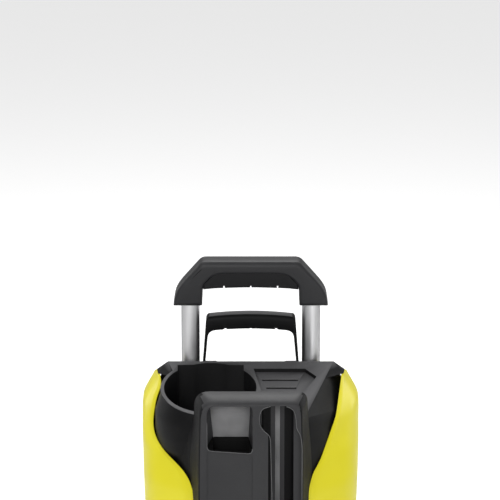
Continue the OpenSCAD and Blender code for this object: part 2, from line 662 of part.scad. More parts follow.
module guide_bushes() color(dark_grey) at_both(tube_x) translate([0, tube_y, bush_z]) difference() {
    union() {
        cylinder(r = duct_r + duct_wall, h = bush_h - wall - 0.1);
        cylinder(r = bush_neck_r, h = bush_h + 2);
    }
    translate([0, 0, -1]) cylinder(r = tube_d / 2 + tube_clear, h = 60);
}
// Leaf springs whose dimples ride on the tubes and drop into their detent holes.
module detent_springs() color(steel) at_both(tube_x) translate([0, tube_y - duct_r - 0.4, catch_z]) {
    translate([-5, -0.6, -14]) cube([10, 0.6, 28]);
    rotate([-90, 0, 0]) cylinder(r = 3.4, h = 1.8);
}

carry_half = tube_x - bush_neck_r - 5.4;
carry_foot_x = carry_half - 8;
carry_z = rear_top + 0.2;
carry_bar_h = 21;
carry_strap = 3.6;
module carry_handle() color(black) difference() {
    union() {
        intersection() {
            front_view(soft_poly([[carry_half + 4 - carry_strap, carry_z], [carry_half + 4, carry_z], [carry_half, carry_z + carry_h - 26],
                [carry_half - 2, carry_z + carry_h], [-carry_half + 2, carry_z + carry_h], [-carry_half, carry_z + carry_h - 26],
                [-carry_half - 4, carry_z], [-carry_half - 4 + carry_strap, carry_z],
                [-carry_half + carry_strap + 1, carry_z + carry_h - carry_bar_h], [carry_half - carry_strap - 1, carry_z + carry_h - carry_bar_h]],
                [0, 0, 6, 9, 9, 6, 0, 0, 10, 10]), tube_y - carry_d / 2, tube_y + carry_d / 2);
            side_view(soft_poly([[tube_y - carry_d / 2, carry_z], [tube_y + carry_d / 2, carry_z],
                [tube_y + carry_d / 2, carry_z + carry_h], [tube_y - carry_d / 2, carry_z + carry_h]], [2, 2, 9, 9]), -200, 200);
        }
        // Feet that screw down on the rear housing.
        for (side = [-1, 1]) box([min(side * (carry_foot_x - 8), side * (carry_half + 3)), tube_y - carry_d / 2, carry_z],
            [max(side * (carry_foot_x - 8), side * (carry_half + 3)), tube_y + carry_d / 2, carry_z + 4]);
    }
    for (side = [-1, 1]) translate([side * carry_foot_x, tube_y, carry_z - 1]) cylinder(r = 2.2, h = 6);
    for (x = [-38, 0, 38]) translate([x, 0, carry_z + carry_h - carry_bar_h - 2]) rotate([90, 0, 0]) cylinder(r = 2.6, h = 300, center = true);
}

// ---------------------------------------------------------------- wheels

hub_r = 26;
rim_r = wheel_r - 15;
module axle() color(steel) translate([0, axle_y, axle_z()]) along_x()
    cylinder(r = axle_d / 2, h = 2 * (wheel_out - 8), center = true);
module rim() color(dark_grey) translate([wheel_in, axle_y, axle_z()]) along_x() difference() {
    union() {
        tube(rim_r, rim_r - 5, wheel_w);
        cylinder(r = hub_r - 6, h = wheel_w - 6);
        translate([0, 0, 12]) cylinder(r = rim_r - 1, h = 5);
        for (a = [0:5]) rotate(a * 60) translate([0, -4, 4]) cube([rim_r - 2, 8, wheel_w - 12]);
    }
    translate([0, 0, -1]) cylinder(r = axle_d / 2 + 0.08, h = wheel_w + 2);
    for (a = [0:5]) rotate(a * 60 + 30) translate([48, 0, 0]) cylinder(r = 11, h = 60);
    translate([0, 0, wheel_w - 6.5]) cylinder(r = axle_d / 2 + 4, h = 10);
}
module tyre() color(rubber_black) translate([wheel_in, axle_y, axle_z()]) along_x() difference() {
    rotate_extrude() polygon([[rim_r + 0.02, 1], [wheel_r - 4, 1], [wheel_r - 1.2, 4], [wheel_r, 10], [wheel_r, wheel_w - 10],
        [wheel_r - 1.2, wheel_w - 4], [wheel_r - 4, wheel_w - 1], [rim_r + 0.02, wheel_w - 1]]);
    for (z = [13, wheel_w - 13]) translate([0, 0, z]) rotate_extrude() translate([wheel_r, 0]) circle(r = 1.6, $fn = 6);
}
module hub_cap() color(black) translate([wheel_out - 5.8, axle_y, axle_z()]) along_x() {
    cylinder(r = hub_r, h = 3.4);
    translate([0, 0, 3.3]) cylinder(r1 = hub_r, r2 = hub_r - 6, h = 2.4);
}
module other_side() mirror([1, 0, 0]) children();

// ---------------------------------------------------------------- controls and connections

knob_y = panel_face(knob_z) + 2.4;
module switch_knob() color(shell_yellow) translate([knob_x, knob_y, knob_z]) rotate([90, 0, 0]) {
    difference() {
        cylinder(r = 27, h = 9);
        translate([0, 0, 5]) rotate_extrude() translate([29, 0]) circle(r = 4);
    }
    translate([-5, -24, 8.9]) cube([10, 48, 9]);
    translate([0, 0, -26]) cylinder(r = 4, h = 27);
}
module switch_body() color(dark_grey) translate([knob_x - 20, knob_y + 22, knob_z - 24]) difference() {
    cube([40, 26, 52]);
    translate([20, -1, 24]) along_y() cylinder(r = 4.2, h = 12);
}
module pressure_outlet() color(black) translate([outlet_x, panel_face(outlet_z) - 12, outlet_z]) along_y() difference() {
    union() {
        cylinder(r = 17, h = 18);
        cylinder(r = 12, h = 56);
    }
    translate([0, 0, -1]) cylinder(r = 9, h = 27);
    translate([0, 0, -1]) cylinder(r = 4, h = 80);
}
module hose_release_button() color(shell_yellow)
    box([outlet_x - 7, panel_face(outlet_z) - 15, outlet_z + 19.3], [outlet_x + 7, panel_face(outlet_z) + 9, outlet_z + 31]);

module water_inlet() color(black) translate([inlet_x, rear_y + 22, inlet_z]) rotate([90, 0, 0]) difference() {
    union() {
        cylinder(r = inlet_thread_r, h = 20);
        translate([0, 0, 17]) cylinder(r = 17, h = 26);
        translate([0, 0, 40]) cylinder(r = 9, h = 26);
    }
    translate([0, 0, -1]) cylinder(r = 10, h = 36);
    translate([0, 0, -1]) cylinder(r = 6, h = 90);
}
inlet_thread_r = 13.2;
module inlet_filter() color("steelblue") translate([inlet_x, rear_y + 16, inlet_z]) rotate([90, 0, 0]) difference() {
    union() {
        cylinder(r = 9.8, h = 3);
        cylinder(r = 7, h = 26);
    }
    translate([0, 0, -1]) cylinder(r = 5.6, h = 25);
}
module cable_gland() color(rubber_black) translate([gland_x, rear_y + 12, gland_z]) rotate([90, 0, 0]) difference() {
    union() {
        cylinder(r1 = 6, r2 = 8.5, h = 9.5);
        translate([0, 0, 9]) cylinder(r = 13, h = 3);
        translate([0, 0, 11.9]) cylinder(r = 9, h = 12);
    }
    translate([0, 0, -1]) cylinder(r = 4, h = 60);
}
// An L-shaped arm with a turned-up end that the cable is wound round.
module hook_arm(reach) {
    front_view(soft_poly([[-15, -14], [15, -14], [17, 10], [-17, 10]], [6, 6, 6, 6]), 0.4, 4.4);
    front_view(soft_poly([[-11, -6], [11, -6], [11, 6], [-11, 6]], [3, 3, 3, 3]), 4, reach);
    front_view(soft_poly([[-15, -6], [15, -6], [20, 26], [-20, 26]], [3, 3, 8, 8]), reach - 5, reach);
}
hook_reach = 52;
module cable_hook_upper() color(black) translate([0, rear_y, hook_z]) {
    hook_arm(hook_reach);
    translate([0, -10, 0]) along_y() cylinder(r = hook_pin_r, h = 12);
}
lower_hook_z = 196;
module cable_hook_lower() color(black) translate([0, rear_y - 0.4, lower_hook_z]) mirror([0, 0, 1]) hook_arm(hook_reach);

// ---------------------------------------------------------------- motor

motor_r = stator_d / 2 + motor_wall;
module motor_housing() color(steel) at_pump(motor_z) difference() {
    union() {
        cylinder(r = motor_r, h = motor_h);
        cylinder(r = pump_d / 2, h = 6);
    }
    translate([0, 0, 6]) cylinder(r = stator_d / 2 + 0.02, h = motor_h - 12);
    translate([0, 0, -1]) cylinder(r = bearing_r + 0.02, h = 8);
    translate([0, 0, motor_h - 7]) cylinder(r = bearing_r + 0.02, h = 8);
    for (a = [0:15]) rotate(a * 22.5) translate([motor_r, 0, 12]) cylinder(r = 1.6, h = motor_h - 24);
}
bearing_r = 16;
bearing_h = 9;
module shaft_bearings() color(steel) {
    for (z = [motor_z + 0.02, motor_z + motor_h - bearing_h]) at_pump(z) difference() {
        cylinder(r = bearing_r, h = bearing_h);
        translate([0, 0, -1]) cylinder(r = shaft_d / 2 + 0.04, h = bearing_h + 2);
        translate([0, 0, bearing_h - 1]) tube(bearing_r - 2, shaft_d / 2 + 2.4, 2);
    }
    // The thrust bearing above the swash plate.
    at_pump(case_z + case_h - 16) difference() {
        cylinder(r = 20, h = 7.9);
        translate([0, 0, -1]) cylinder(r = shaft_d / 2 + 0.1, h = 10);
    }
}
rotor_r = 28;
module motor_stator() color(steel) at_pump(stator_z) difference() {
    tube(stator_d / 2, rotor_r + 0.6, stator_h);
    for (a = [0:11]) rotate(a * 30) translate([rotor_r + 9, 0, -1]) cylinder(r = 4.2, h = stator_h + 2);
}
module motor_windings() color("chocolate") at_pump(stator_z - 7) {
    for (a = [0:11]) rotate(a * 30) translate([rotor_r + 9, 0, 0]) cylinder(r = 4, h = stator_h + 14);
    for (z = [0, stator_h + 8]) translate([0, 0, z]) tube(rotor_r + 15, rotor_r + 4, 6);
}
module motor_rotor() color(steel) at_pump(stator_z + 2) difference() {
    cylinder(r = rotor_r, h = stator_h - 4);
    translate([0, 0, -1]) cylinder(r = shaft_d / 2, h = stator_h);
    for (z = [-1, stator_h - 9]) translate([0, 0, z]) tube(rotor_r - 6, shaft_d / 2 + 5, 6);
}
module motor_shaft() color(steel) at_pump(swash_z) cylinder(r = shaft_d / 2, h = fan_z + fan_h - swash_z);
module cooling_fan() color(black) at_pump(fan_z) difference() {
    union() {
        cylinder(r = 16, h = fan_h);
        cylinder(r = motor_r - 6, h = 2);
        for (a = [0:8]) rotate(a * 40) translate([12, -1, 0]) cube([motor_r - 20, 2, fan_h - 2]);
    }
    translate([0, 0, -1]) cylinder(r = shaft_d / 2, h = fan_h + 2);
}
module fan_cover() color(black) at_pump(fan_z - 10) difference() {
    cylinder(r = motor_r + 2.4, h = fan_h + 17);
    translate([0, 0, -1]) cylinder(r = motor_r + 0.02, h = fan_h + 15);
    for (a = [0:11]) rotate(a * 30) translate([motor_r - 20, 0, 0]) cylinder(r = 5, h = 60);
    for (a = [0:23]) rotate(a * 15) translate([motor_r, 0, fan_h / 2 + 11]) cube([20, 5, fan_h - 6], center = true);
}
module capacitor() color(steel) translate([cap_x, cap_y, tray_z + 4.1]) {
    cylinder(r = 16, h = 60);
    for (x = [-5, 5]) translate([x - 2, -0.5, 60]) cube([4, 1, 8]);
}

// ---------------------------------------------------------------- pump

module pump_case() color(steel) at_pump(case_z) difference() {
    union() {
        cylinder(r = pump_d / 2 - 4, h = case_h);
        cylinder(r = pump_d / 2, h = 8);
        translate([0, 0, case_h - 8]) cylinder(r = pump_d / 2, h = 8);
    }
    translate([0, 0, 6]) cylinder(r = pump_d / 2 - 10, h = case_h - 14);
    for (a = [0:2]) rotate(a * 120) translate([piston_circle, 0, -1]) cylinder(r = piston_d / 2 + 0.06, h = 12);
    translate([0, 0, case_h - 10]) cylinder(r = shaft_d / 2 + 0.6, h = 12);
}
// A round plate cut at a slant: the pistons ride on its lower face.
module swash_plate() color(steel) at_pump(swash_z) difference() {
    union() {
        intersection() {
            rotate([swash_tilt, 0, 0]) cylinder(r = swash_r + 2, h = swash_t, center = true);
            cylinder(r = swash_r, h = 60, center = true);
        }
        cylinder(r = 13, h = case_z + case_h - 16.3 - swash_z);
    }
    translate([0, 0, 0]) cylinder(r = shaft_d / 2, h = 60);
}
module piston(k) color(steel) at_pump(piston_top) rotate(k * 120 - 120) translate([piston_circle, 0, 0]) {
    translate([0, 0, -piston_len]) cylinder(r = piston_d / 2, h = piston_len);
    translate([0, 0, -3]) cylinder(r = piston_d / 2 + 3, h = 3);
}
spring_low = case_z + 6.1;
spring_high = piston_top - 3.1;
module piston_springs() color(steel) for (k = [0:2]) at_pump(0) rotate(k * 120) translate([piston_circle, 0, 0])
    coil(piston_d / 2 + 1.9, 0.8, spring_low + 0.85, spring_high - 0.85, 4);
module coil(r, wire, z0, z1, turns) {
    steps = turns * 10;
    ring = 5;
    pts = [for (s = [0:steps]) for (k = [0:ring - 1]) let (a = s * 36, b = k * 360 / ring)
        [(r + wire * cos(b)) * cos(a), (r + wire * cos(b)) * sin(a), lerp(z0, z1, s / steps) + wire * sin(b)]];
    polyhedron(points = pts, faces = concat([[for (k = [0:ring - 1]) k]],
        [[for (k = [ring - 1:-1:0]) steps * ring + k]],
        [for (s = [0:steps - 1]) for (k = [0:ring - 1]) let (i = s * ring, n = (k + 1) % ring)
            each [[i + k, i + ring + k, i + ring + n], [i + k, i + ring + n, i + n]]]));
}
module piston_seals() color(rubber_black) for (k = [0:2]) at_pump(head_z + head_h - 8) rotate(k * 120)
    translate([piston_circle, 0, 0]) tube(piston_d / 2 + 3, piston_d / 2 + 0.06, 5);
module pump_head() color(dark_grey) at_pump(head_z) difference() {
    union() {
        cylinder(r = pump_d / 2, h = head_h - 0.02);
        // The detergent spigot's flat.
        translate([-pump_d / 2, bay_y - pump_y - 8, 12]) cube([20, 16, 20]);
        // Outlet and inlet ports.
        translate([-18, -pump_d / 2 - 8, 8]) cube([26, 40, 24]);
        translate([10, pump_d / 2 - 30, 8]) cube([26, 38, 24]);
    }
    for (k = [0:2]) rotate(k * 120) translate([piston_circle, 0, 0]) {
        translate([0, 0, head_h - piston_len + 8]) cylinder(r = piston_d / 2 + 0.4, h = 60);
        translate([0, 0, head_h - 8]) cylinder(r = piston_d / 2 + 3, h = 20);
        translate([0, 0, 10]) cylinder(r = 3, h = 20);
    }
    translate([-5, -pump_d / 2 - 10, 20]) along_y() cylinder(r = 6, h = 40);
    translate([23, pump_d / 2 + 10, 20]) rotate([90, 0, 0]) cylinder(r = 7, h = 40);
    for (a = mount_angles) rotate(a) translate([mount_r, 0, -1]) cylinder(r = 4, h = 9);
}
module pump_mounts() color(rubber_black) for (a = mount_angles) at_pump(tray_z + 3.1) rotate(a) translate([mount_r, 0, 0]) {
    cylinder(r = 8.8, h = head_z - tray_z - 3.2);
    cylinder(r = 3.8, h = head_z - tray_z + 3);
}
// A pipe between two ports that face along Y, sloping across at one depth.
module pipe_run(a, b, y, r) {
    translate([a[0], min(a[1], y), a[2]]) along_y() cylinder(r = r, h = abs(a[1] - y));
    translate([a[0], y, a[2]]) sphere(r = r * 1.12);
    v = [b[0] - a[0], 0, b[2] - a[2]];
    translate([a[0], y, a[2]]) rotate([0, atan2(v[0], v[2]), 0]) cylinder(r = r, h = norm(v));
    translate([b[0], y, b[2]]) sphere(r = r * 1.12);
    translate([b[0], min(b[1], y), b[2]]) along_y() cylinder(r = r, h = abs(b[1] - y));
}
// From the pump head's outlet up to the hose connector.
module pressure_pipe() color(steel) pipe_run([pump_x - 5, pump_y - pump_d / 2 - 8.1, head_z + 20],
    [outlet_x, panel_face(outlet_z) + 44.2, outlet_z], front_y - 8, 4.5);
// From the garden hose connector down to the pump head's inlet.
module inlet_pipe() color("gray") pipe_run([pump_x + 23, pump_y + pump_d / 2 + 8.1, head_z + 20],
    [inlet_x, rear_y - 44.1, inlet_z], ridge_y - 7.2, 5);

// ---------------------------------------------------------------- detergent bay

socket_h = 16;
socket_floor = 16; // the bottle's neck stands on this step, over the valve's chamber
module detergent_socket() color(dark_grey) translate([bay_x, bay_y, bay_floor - wall - 8]) difference() {
    union() {
        cylinder(r = socket_hole_r - 0.2, h = socket_h + wall + 8);
        translate([0, 0, 8 + wall + 0.05]) cylinder(r = socket_hole_r + 6, h = 2);
        translate([0, 0, -14]) cylinder(r = 4, h = 16);
    }
    translate([0, 0, socket_floor]) cylinder(r = socket_d / 2, h = 40);
    translate([0, 0, 7.4]) cylinder(r = 8, h = 20);
    translate([0, 0, -20]) cylinder(r = 2.6, h = 60);
}
module detergent_valve() color(shell_yellow) translate([bay_x, bay_y, bay_floor - wall - 8]) {
    translate([0, 0, socket_floor - 3.3]) cylinder(r = 7, h = 3);
    translate([0, 0, -8]) cylinder(r = 2.3, h = socket_floor + 7.8);
}
valve_travel = 5;
module detergent_spring() color(steel) translate([bay_x, bay_y, 0])
    coil(5, 0.5, bay_floor - wall - 0.2, bay_floor - wall + valve_travel - 0.8, 3);

// A hollow hose whose middle line lies in a plane of constant Y.
module hose(path, y, r_out, r_in, sides = 12) {
    last = len(path) - 1;
    ring = [for (i = [0:last]) let (a = path[max(i - 1, 0)], b = path[min(i + 1, last)], t = unit2(b - a))
        [for (r = [r_out, r_in]) for (k = [0:sides - 1]) let (c = k * 360 / sides)
            [path[i][0] + t[1] * r * cos(c), y + r * sin(c), path[i][1] - t[0] * r * cos(c)]]];
    pts = [for (q = ring) each q];
    n = 2 * sides;
    polyhedron(points = pts, faces = concat(
        [for (i = [0:last - 1]) for (k = [0:sides - 1]) let (m = (k + 1) % sides, a = i * n)
            each [[a + k, a + n + k, a + n + m], [a + k, a + n + m, a + m],
                [a + sides + m, a + n + sides + m, a + n + sides + k], [a + sides + m, a + n + sides + k, a + sides + k]]],
        [for (k = [0:sides - 1]) let (m = (k + 1) % sides, b = last * n)
            each [[k, m, sides + m], [k, sides + m, sides + k],
                [b + m, b + k, b + sides + k], [b + m, b + sides + k, b + sides + m]]]));
}
// From the socket's spigot, past the motor, into the side of the pump head.
module detergent_hose() color("gray") {
    side = pump_x - motor_r - 10;
    top = bay_floor - wall - 8.2;
    low = head_z + 22;
    path = concat([[bay_x, top], [bay_x, top - 12]],
        [for (k = [0:4]) bez([bay_x, top - 14], [bay_x, top - 30], [(bay_x + side) / 2, top - 38], k / 4)],
        [for (k = [1:4]) bez([(bay_x + side) / 2, top - 38], [side, top - 46], [side, top - 62], k / 4)],
        [for (k = [0:6]) bez([side, low + 11], [side, low], [side + 9, low], k / 6)],
        [[pump_x - pump_d / 2 - 0.3, low]]);
    hose(path, bay_y, 6, 4.1);
}

// ---------------------------------------------------------------- fasteners

module screw(len) {
    difference() {
        cylinder(r = 3.6, h = 2.4);
        translate([0, 0, -1]) cylinder(r = 1.6, h = 2.4, $fn = 6);
    }
    translate([0, 0, 2.3]) cylinder(r = 1.9, h = len);
}
// Through the grip's legs into the tubes.
module grip_screws() color(steel) at_both(tube_x)
    translate([0, tube_y + grip_d / 2 + 0.1, grip_z + 14]) rotate([90, 0, 0]) screw(grip_d - 8);
// Through the carrying handle's feet into the rear housing.
module housing_screws() color(steel) at_both(carry_foot_x)
    translate([0, tube_y, carry_z + 6.5]) mirror([0, 0, 1]) screw(12);

// ---------------------------------------------------------------- assembly

base_tray();
front_feet();
inner_chassis();
rear_housing();
upper_housing();
side_shell(true);  // left_side_shell
side_shell(false);  // right_side_shell
front_column();
lower_front_panel();
carry_handle();
handle_grip();
handle_grip_insert();
handle_tube(-1);  // handle_tube_left
handle_tube(1);  // handle_tube_right
handle_end_plugs();
guide_ducts();
guide_bushes();
detent_springs();
axle();
other_side() rim();  // wheel_left
other_side() tyre();  // tyre_left
other_side() hub_cap();  // hub_cap_left
rim();  // wheel_right
tyre();  // tyre_right
hub_cap();  // hub_cap_right
switch_knob();
switch_body();
pressure_outlet();
hose_release_button();
water_inlet();
inlet_pipe();
inlet_filter();
cable_gland();
cable_hook_upper();
cable_hook_lower();
motor_housing();
motor_stator();
motor_windings();
motor_rotor();
motor_shaft();
shaft_bearings();
cooling_fan();
fan_cover();
capacitor();
pump_case();
swash_plate();
piston(1);  // piston_1
piston(2);  // piston_2
piston(3);  // piston_3
piston_springs();
piston_seals();
pump_head();
pump_mounts();
pressure_pipe();
detergent_socket();
detergent_valve();
detergent_spring();
detergent_hose();
grip_screws();
housing_screws();
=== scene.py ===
# %% [markdown]
# # A pressure washer, looked at closely
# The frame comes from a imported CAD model: every part already has its true size and place. This file
# gives the parts their looks. It reads like a notebook, one small idea to a cell: what the piece is
# on the real machine, how it could be made in Blender, and why it is made this way.

# %% Load the frame
import bpy
import bmesh
import json
import math
from mathutils import Matrix, Vector
from mathutils.bvhtree import BVHTree


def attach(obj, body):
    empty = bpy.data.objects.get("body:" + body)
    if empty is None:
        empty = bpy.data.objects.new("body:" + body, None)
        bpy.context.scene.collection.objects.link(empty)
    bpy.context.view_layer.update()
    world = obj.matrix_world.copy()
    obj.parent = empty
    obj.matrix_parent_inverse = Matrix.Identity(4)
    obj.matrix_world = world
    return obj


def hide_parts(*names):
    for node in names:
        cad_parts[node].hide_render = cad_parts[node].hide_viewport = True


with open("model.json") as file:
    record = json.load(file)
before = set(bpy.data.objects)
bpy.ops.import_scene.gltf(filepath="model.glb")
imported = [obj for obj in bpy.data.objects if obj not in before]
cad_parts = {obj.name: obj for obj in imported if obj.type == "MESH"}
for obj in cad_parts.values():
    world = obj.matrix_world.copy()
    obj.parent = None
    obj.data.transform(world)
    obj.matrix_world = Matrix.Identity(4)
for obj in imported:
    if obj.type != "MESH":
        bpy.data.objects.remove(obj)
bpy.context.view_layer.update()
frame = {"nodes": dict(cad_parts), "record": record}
nodes = frame["nodes"]
body_of = {n: b for b, members in frame["record"]["behaviour"]["bodies"].items() for n in members}
slot_of = {s["node"]: s["material_slot"] for s in frame["record"]["subparts"]}
MM = 0.001

# %% [markdown]
# ## Shader groups: the effects that several finishes share
# Moulded plastic is never perfectly even. Its mould was spark-eroded to a fine grain, and the skin
# varies a little in tone and gloss over a hand's width. Both effects are built once as node groups
# with named sockets, so that each material can place them with its own values.


# %% Node group helpers
def new_group(name, inputs, outputs):
    group = bpy.data.node_groups.new(name, "ShaderNodeTree")
    for label, kind, value in inputs:
        socket = group.interface.new_socket(label, in_out="INPUT", socket_type=kind)
        socket.default_value = value
    for label, kind in outputs:
        group.interface.new_socket(label, in_out="OUTPUT", socket_type=kind)
    return group, group.nodes.new("NodeGroupInput"), group.nodes.new("NodeGroupOutput")


def node(tree, kind, **values):
    made = tree.nodes.new(kind)
    for key, value in values.items():
        setattr(made, key, value)
    return made


def noise(tree, vector, scale, detail=3.0, rough=0.55):
    made = node(tree, "ShaderNodeTexNoise")
    made.inputs["Detail"].default_value = detail
    made.inputs["Roughness"].default_value = rough
    if isinstance(scale, (int, float)):
        made.inputs["Scale"].default_value = scale
    else:
        tree.links.new(scale, made.inputs["Scale"])
    tree.links.new(vector, made.inputs["Vector"])
    return made.outputs["Fac"]


def remap(tree, value, a, b, c, d):
    made = node(tree, "ShaderNodeMapRange")
    for index, number in zip((1, 2, 3, 4), (a, b, c, d)):
        made.inputs[index].default_value = number
    tree.links.new(value, made.inputs[0])
    return made.outputs[0]


# %% [markdown]
# ## Moulded grain
# A picture of grain would need unwrapped parts and would repeat, while noise in object space covers any
# shape evenly. One fine noise gives the height for Bump; one wide noise shifts tone and gloss.


# %% The moulded grain group
def build_moulded_grain():
    group, given, out = new_group(
        "moulded_grain",
        [("Grain Scale", "NodeSocketFloat", 900.0), ("Blotch Scale", "NodeSocketFloat", 14.0)],
        [("Height", "NodeSocketFloat"), ("Tone", "NodeSocketFloat"), ("Sheen Mask", "NodeSocketFloat")])
    place = node(group, "ShaderNodeTexCoord").outputs["Object"]
    fine = noise(group, place, given.outputs["Grain Scale"], 2.0, 0.6)
    wide = noise(group, place, given.outputs["Blotch Scale"], 3.0, 0.5)
    group.links.new(fine, out.inputs["Height"])
    group.links.new(remap(group, wide, 0.3, 0.7, 0.0, 1.0), out.inputs["Tone"])
    mixed = node(group, "ShaderNodeMath", operation="MULTIPLY_ADD")
    group.links.new(fine, mixed.inputs[0])
    mixed.inputs[1].default_value = 0.5
    group.links.new(remap(group, wide, 0.25, 0.75, 0.0, 0.5), mixed.inputs[2])
    group.links.new(mixed.outputs[0], out.inputs["Sheen Mask"])
    return group


moulded_grain = build_moulded_grain()
print("group:", moulded_grain.name)

# %% [markdown]
# ## Dust, and painted light on upper faces
# On the real machine fine dust settles on whatever looks up, and upper faces get a painted highlight, a
# lighter tone for light from above. Painting that by hand would have to be redone after each change of
# shape, so the group asks the true normal's Z how much a surface looks up, and breaks the dust up with noise.


# %% The group for dust and painted top light
def build_dust_and_top_light():
    group, given, out = new_group(
        "dust_and_top_light", [("Amount", "NodeSocketFloat", 0.2)],
        [("Mask", "NodeSocketFloat"), ("Facing Up", "NodeSocketFloat")])
    geometry = node(group, "ShaderNodeNewGeometry")
    split = node(group, "ShaderNodeSeparateXYZ")
    group.links.new(geometry.outputs["Normal"], split.inputs[0])
    up = remap(group, split.outputs["Z"], 0.35, 1.0, 0.0, 1.0)
    place = node(group, "ShaderNodeTexCoord").outputs["Object"]
    speck = remap(group, noise(group, place, 60.0, 6.0, 0.7), 0.42, 0.72, 0.0, 1.0)
    both = node(group, "ShaderNodeMath", operation="MULTIPLY")
    group.links.new(up, both.inputs[0])
    group.links.new(speck, both.inputs[1])
    scaled = node(group, "ShaderNodeMath", operation="MULTIPLY")
    group.links.new(both.outputs[0], scaled.inputs[0])
    group.links.new(given.outputs["Amount"], scaled.inputs[1])
    group.links.new(scaled.outputs[0], out.inputs["Mask"])
    # Facing Up places the painted top light, a lighter tone on faces that look up.
    group.links.new(remap(group, split.outputs["Z"], 0.88, 0.96, 0.0, 1.0), out.inputs["Facing Up"])
    return group


dust_and_top_light = build_dust_and_top_light()
print("group:", dust_and_top_light.name)

# %% [markdown]
# ## Finishes
# A small function sets up one Principled shader and wires a moulded skin into it. Numbers that are the
# same all over stay on the shader's own sockets; only what varies over the surface is linked.

# %% Build the moulded finishes
materials = {}


def start_material(name, color, rough, metal=0.0):
    made = bpy.data.materials.new(name)
    made.use_nodes = True
    shader = made.node_tree.nodes["Principled BSDF"]
    shader.inputs["Base Color"].default_value = (*color, 1.0)
    shader.inputs["Roughness"].default_value = rough
    shader.inputs["Metallic"].default_value = metal
    made.diffuse_color = (*color, 1.0)
    materials[name] = made
    return made, made.node_tree, shader


def mix_color(tree, factor, low, high):
    mixed = node(tree, "ShaderNodeMix", data_type="RGBA")
    mixed.inputs[6].default_value = (*low, 1.0)
    mixed.inputs[7].default_value = (*high, 1.0)
    tree.links.new(factor, mixed.inputs[0])
    return mixed.outputs[2]


def bump(tree, shader, height, strength, distance):
    made = node(tree, "ShaderNodeBump")
    made.inputs["Strength"].default_value = strength
    made.inputs["Distance"].default_value = distance
    tree.links.new(height, made.inputs["Height"])
    tree.links.new(made.outputs["Normal"], shader.inputs["Normal"])


def moulded(name, low, high, rough, spread, grain, relief, dust=0.1, coat=0.0, specular=0.4,
            top=None):
    made, tree, shader = start_material(name, low, rough)
    skin = node(tree, "ShaderNodeGroup", node_tree=moulded_grain)
    skin.inputs["Grain Scale"].default_value = grain
    dust_and_lit_top = node(tree, "ShaderNodeGroup", node_tree=dust_and_top_light)
    dust_and_lit_top.inputs["Amount"].default_value = dust
    tone = mix_color(tree, skin.outputs["Tone"], low, high)
    if top:
        # The upper faces get a lighter tone than the sides: painted light from above.
        upper = node(tree, "ShaderNodeMix", data_type="RGBA")
        upper.inputs[7].default_value = (*top, 1.0)
        tree.links.new(dust_and_lit_top.outputs["Facing Up"], upper.inputs[0])
        tree.links.new(tone, upper.inputs[6])
        tone = upper.outputs[2]
    dusty = node(tree, "ShaderNodeMix", data_type="RGBA")
    dusty.inputs[7].default_value = (0.42, 0.4, 0.37, 1.0)
    tree.links.new(dust_and_lit_top.outputs["Mask"], dusty.inputs[0])
    tree.links.new(tone, dusty.inputs[6])
    tree.links.new(dusty.outputs[2], shader.inputs["Base Color"])
    tree.links.new(remap(tree, skin.outputs["Sheen Mask"], 0.2, 0.8, rough - spread, rough + spread),
                   shader.inputs["Roughness"])
    bump(tree, shader, skin.outputs["Height"], relief, 0.0004)
    shader.inputs["Coat Weight"].default_value = coat
    shader.inputs["Coat Roughness"].default_value = 0.18
    shader.inputs["Specular IOR Level"].default_value = specular
    return made


# Two tones, roughness and its spread, grain scale and relief, dust, coat, specular, and the painted top light: a
# lighter tone of upper faces.
moulded_finishes = {
    "yellow_plastic": ((0.83, 0.745, 0.014), (0.86, 0.775, 0.022), 0.4, 0.05, 700, 0.05, 0.02, 0.15, 0.35),
    "black_plastic": ((0.004, 0.004, 0.0045), (0.006, 0.006, 0.0065), 0.5, 0.07, 1500, 0.35, 0.01, 0.0, 0.14,
                      (0.12, 0.12, 0.124)),
    "dark_grey_plastic": ((0.022, 0.022, 0.024), (0.028, 0.028, 0.03), 0.5, 0.08, 1300, 0.45, 0.02, 0.0, 0.4,
                          (0.06, 0.06, 0.062)),
    # The next finish is the grain of the pocket wall, and also a painted highlight on the scoop's floor.
    "pocket_grain": ((0.08, 0.08, 0.082), (0.24, 0.24, 0.243), 0.62, 0.1, 520, 1.0, 0.0),
    # The next finish is painted shade: a near-black for a recess.
    "deep_black": ((0.003, 0.003, 0.003), (0.005, 0.005, 0.005), 0.6, 0.08, 1300, 0.4, 0.0, 0.0, 0.15),
    "grip_plastic": ((0.016, 0.016, 0.018), (0.021, 0.021, 0.023), 0.46, 0.06, 1500, 0.3, 0.02, 0.0, 0.4,
                     (0.05, 0.05, 0.052)),
    # The next finish is a painted highlight: a light grey for thin tubes on lips and rib crests.
    "lip_grey": ((0.11, 0.11, 0.112), (0.14, 0.14, 0.143), 0.45, 0.06, 1300, 0.2, 0.0),
    "grip_rubber": ((0.006, 0.006, 0.007), (0.009, 0.009, 0.01), 0.6, 0.08, 1100, 0.5, 0.0, 0.0, 0.25),
    "tyre_rubber": ((0.01, 0.01, 0.01), (0.018, 0.017, 0.016), 0.8, 0.1, 500, 0.6, 0.3, 0.0, 0.3),
    "seal_rubber": ((0.012, 0.012, 0.013), (0.02, 0.02, 0.02), 0.68, 0.1, 800, 0.4, 0.1),
    "hose_rubber": ((0.05, 0.05, 0.055), (0.075, 0.075, 0.08), 0.5, 0.1, 900, 0.3, 0.0),
    "filter_plastic": ((0.03, 0.12, 0.4), (0.05, 0.17, 0.5), 0.25, 0.05, 700, 0.1, 0.0)}
for name, numbers in moulded_finishes.items():
    moulded(name, *numbers)
print("moulded finishes:", len(materials))

# %% [markdown]
# ## Metals
# Drawn tube carries fine lines along its length, so its noise is squeezed across and stretched along Z.
# Cast metal is pitted all over, and ground steel shines with faint streaks.


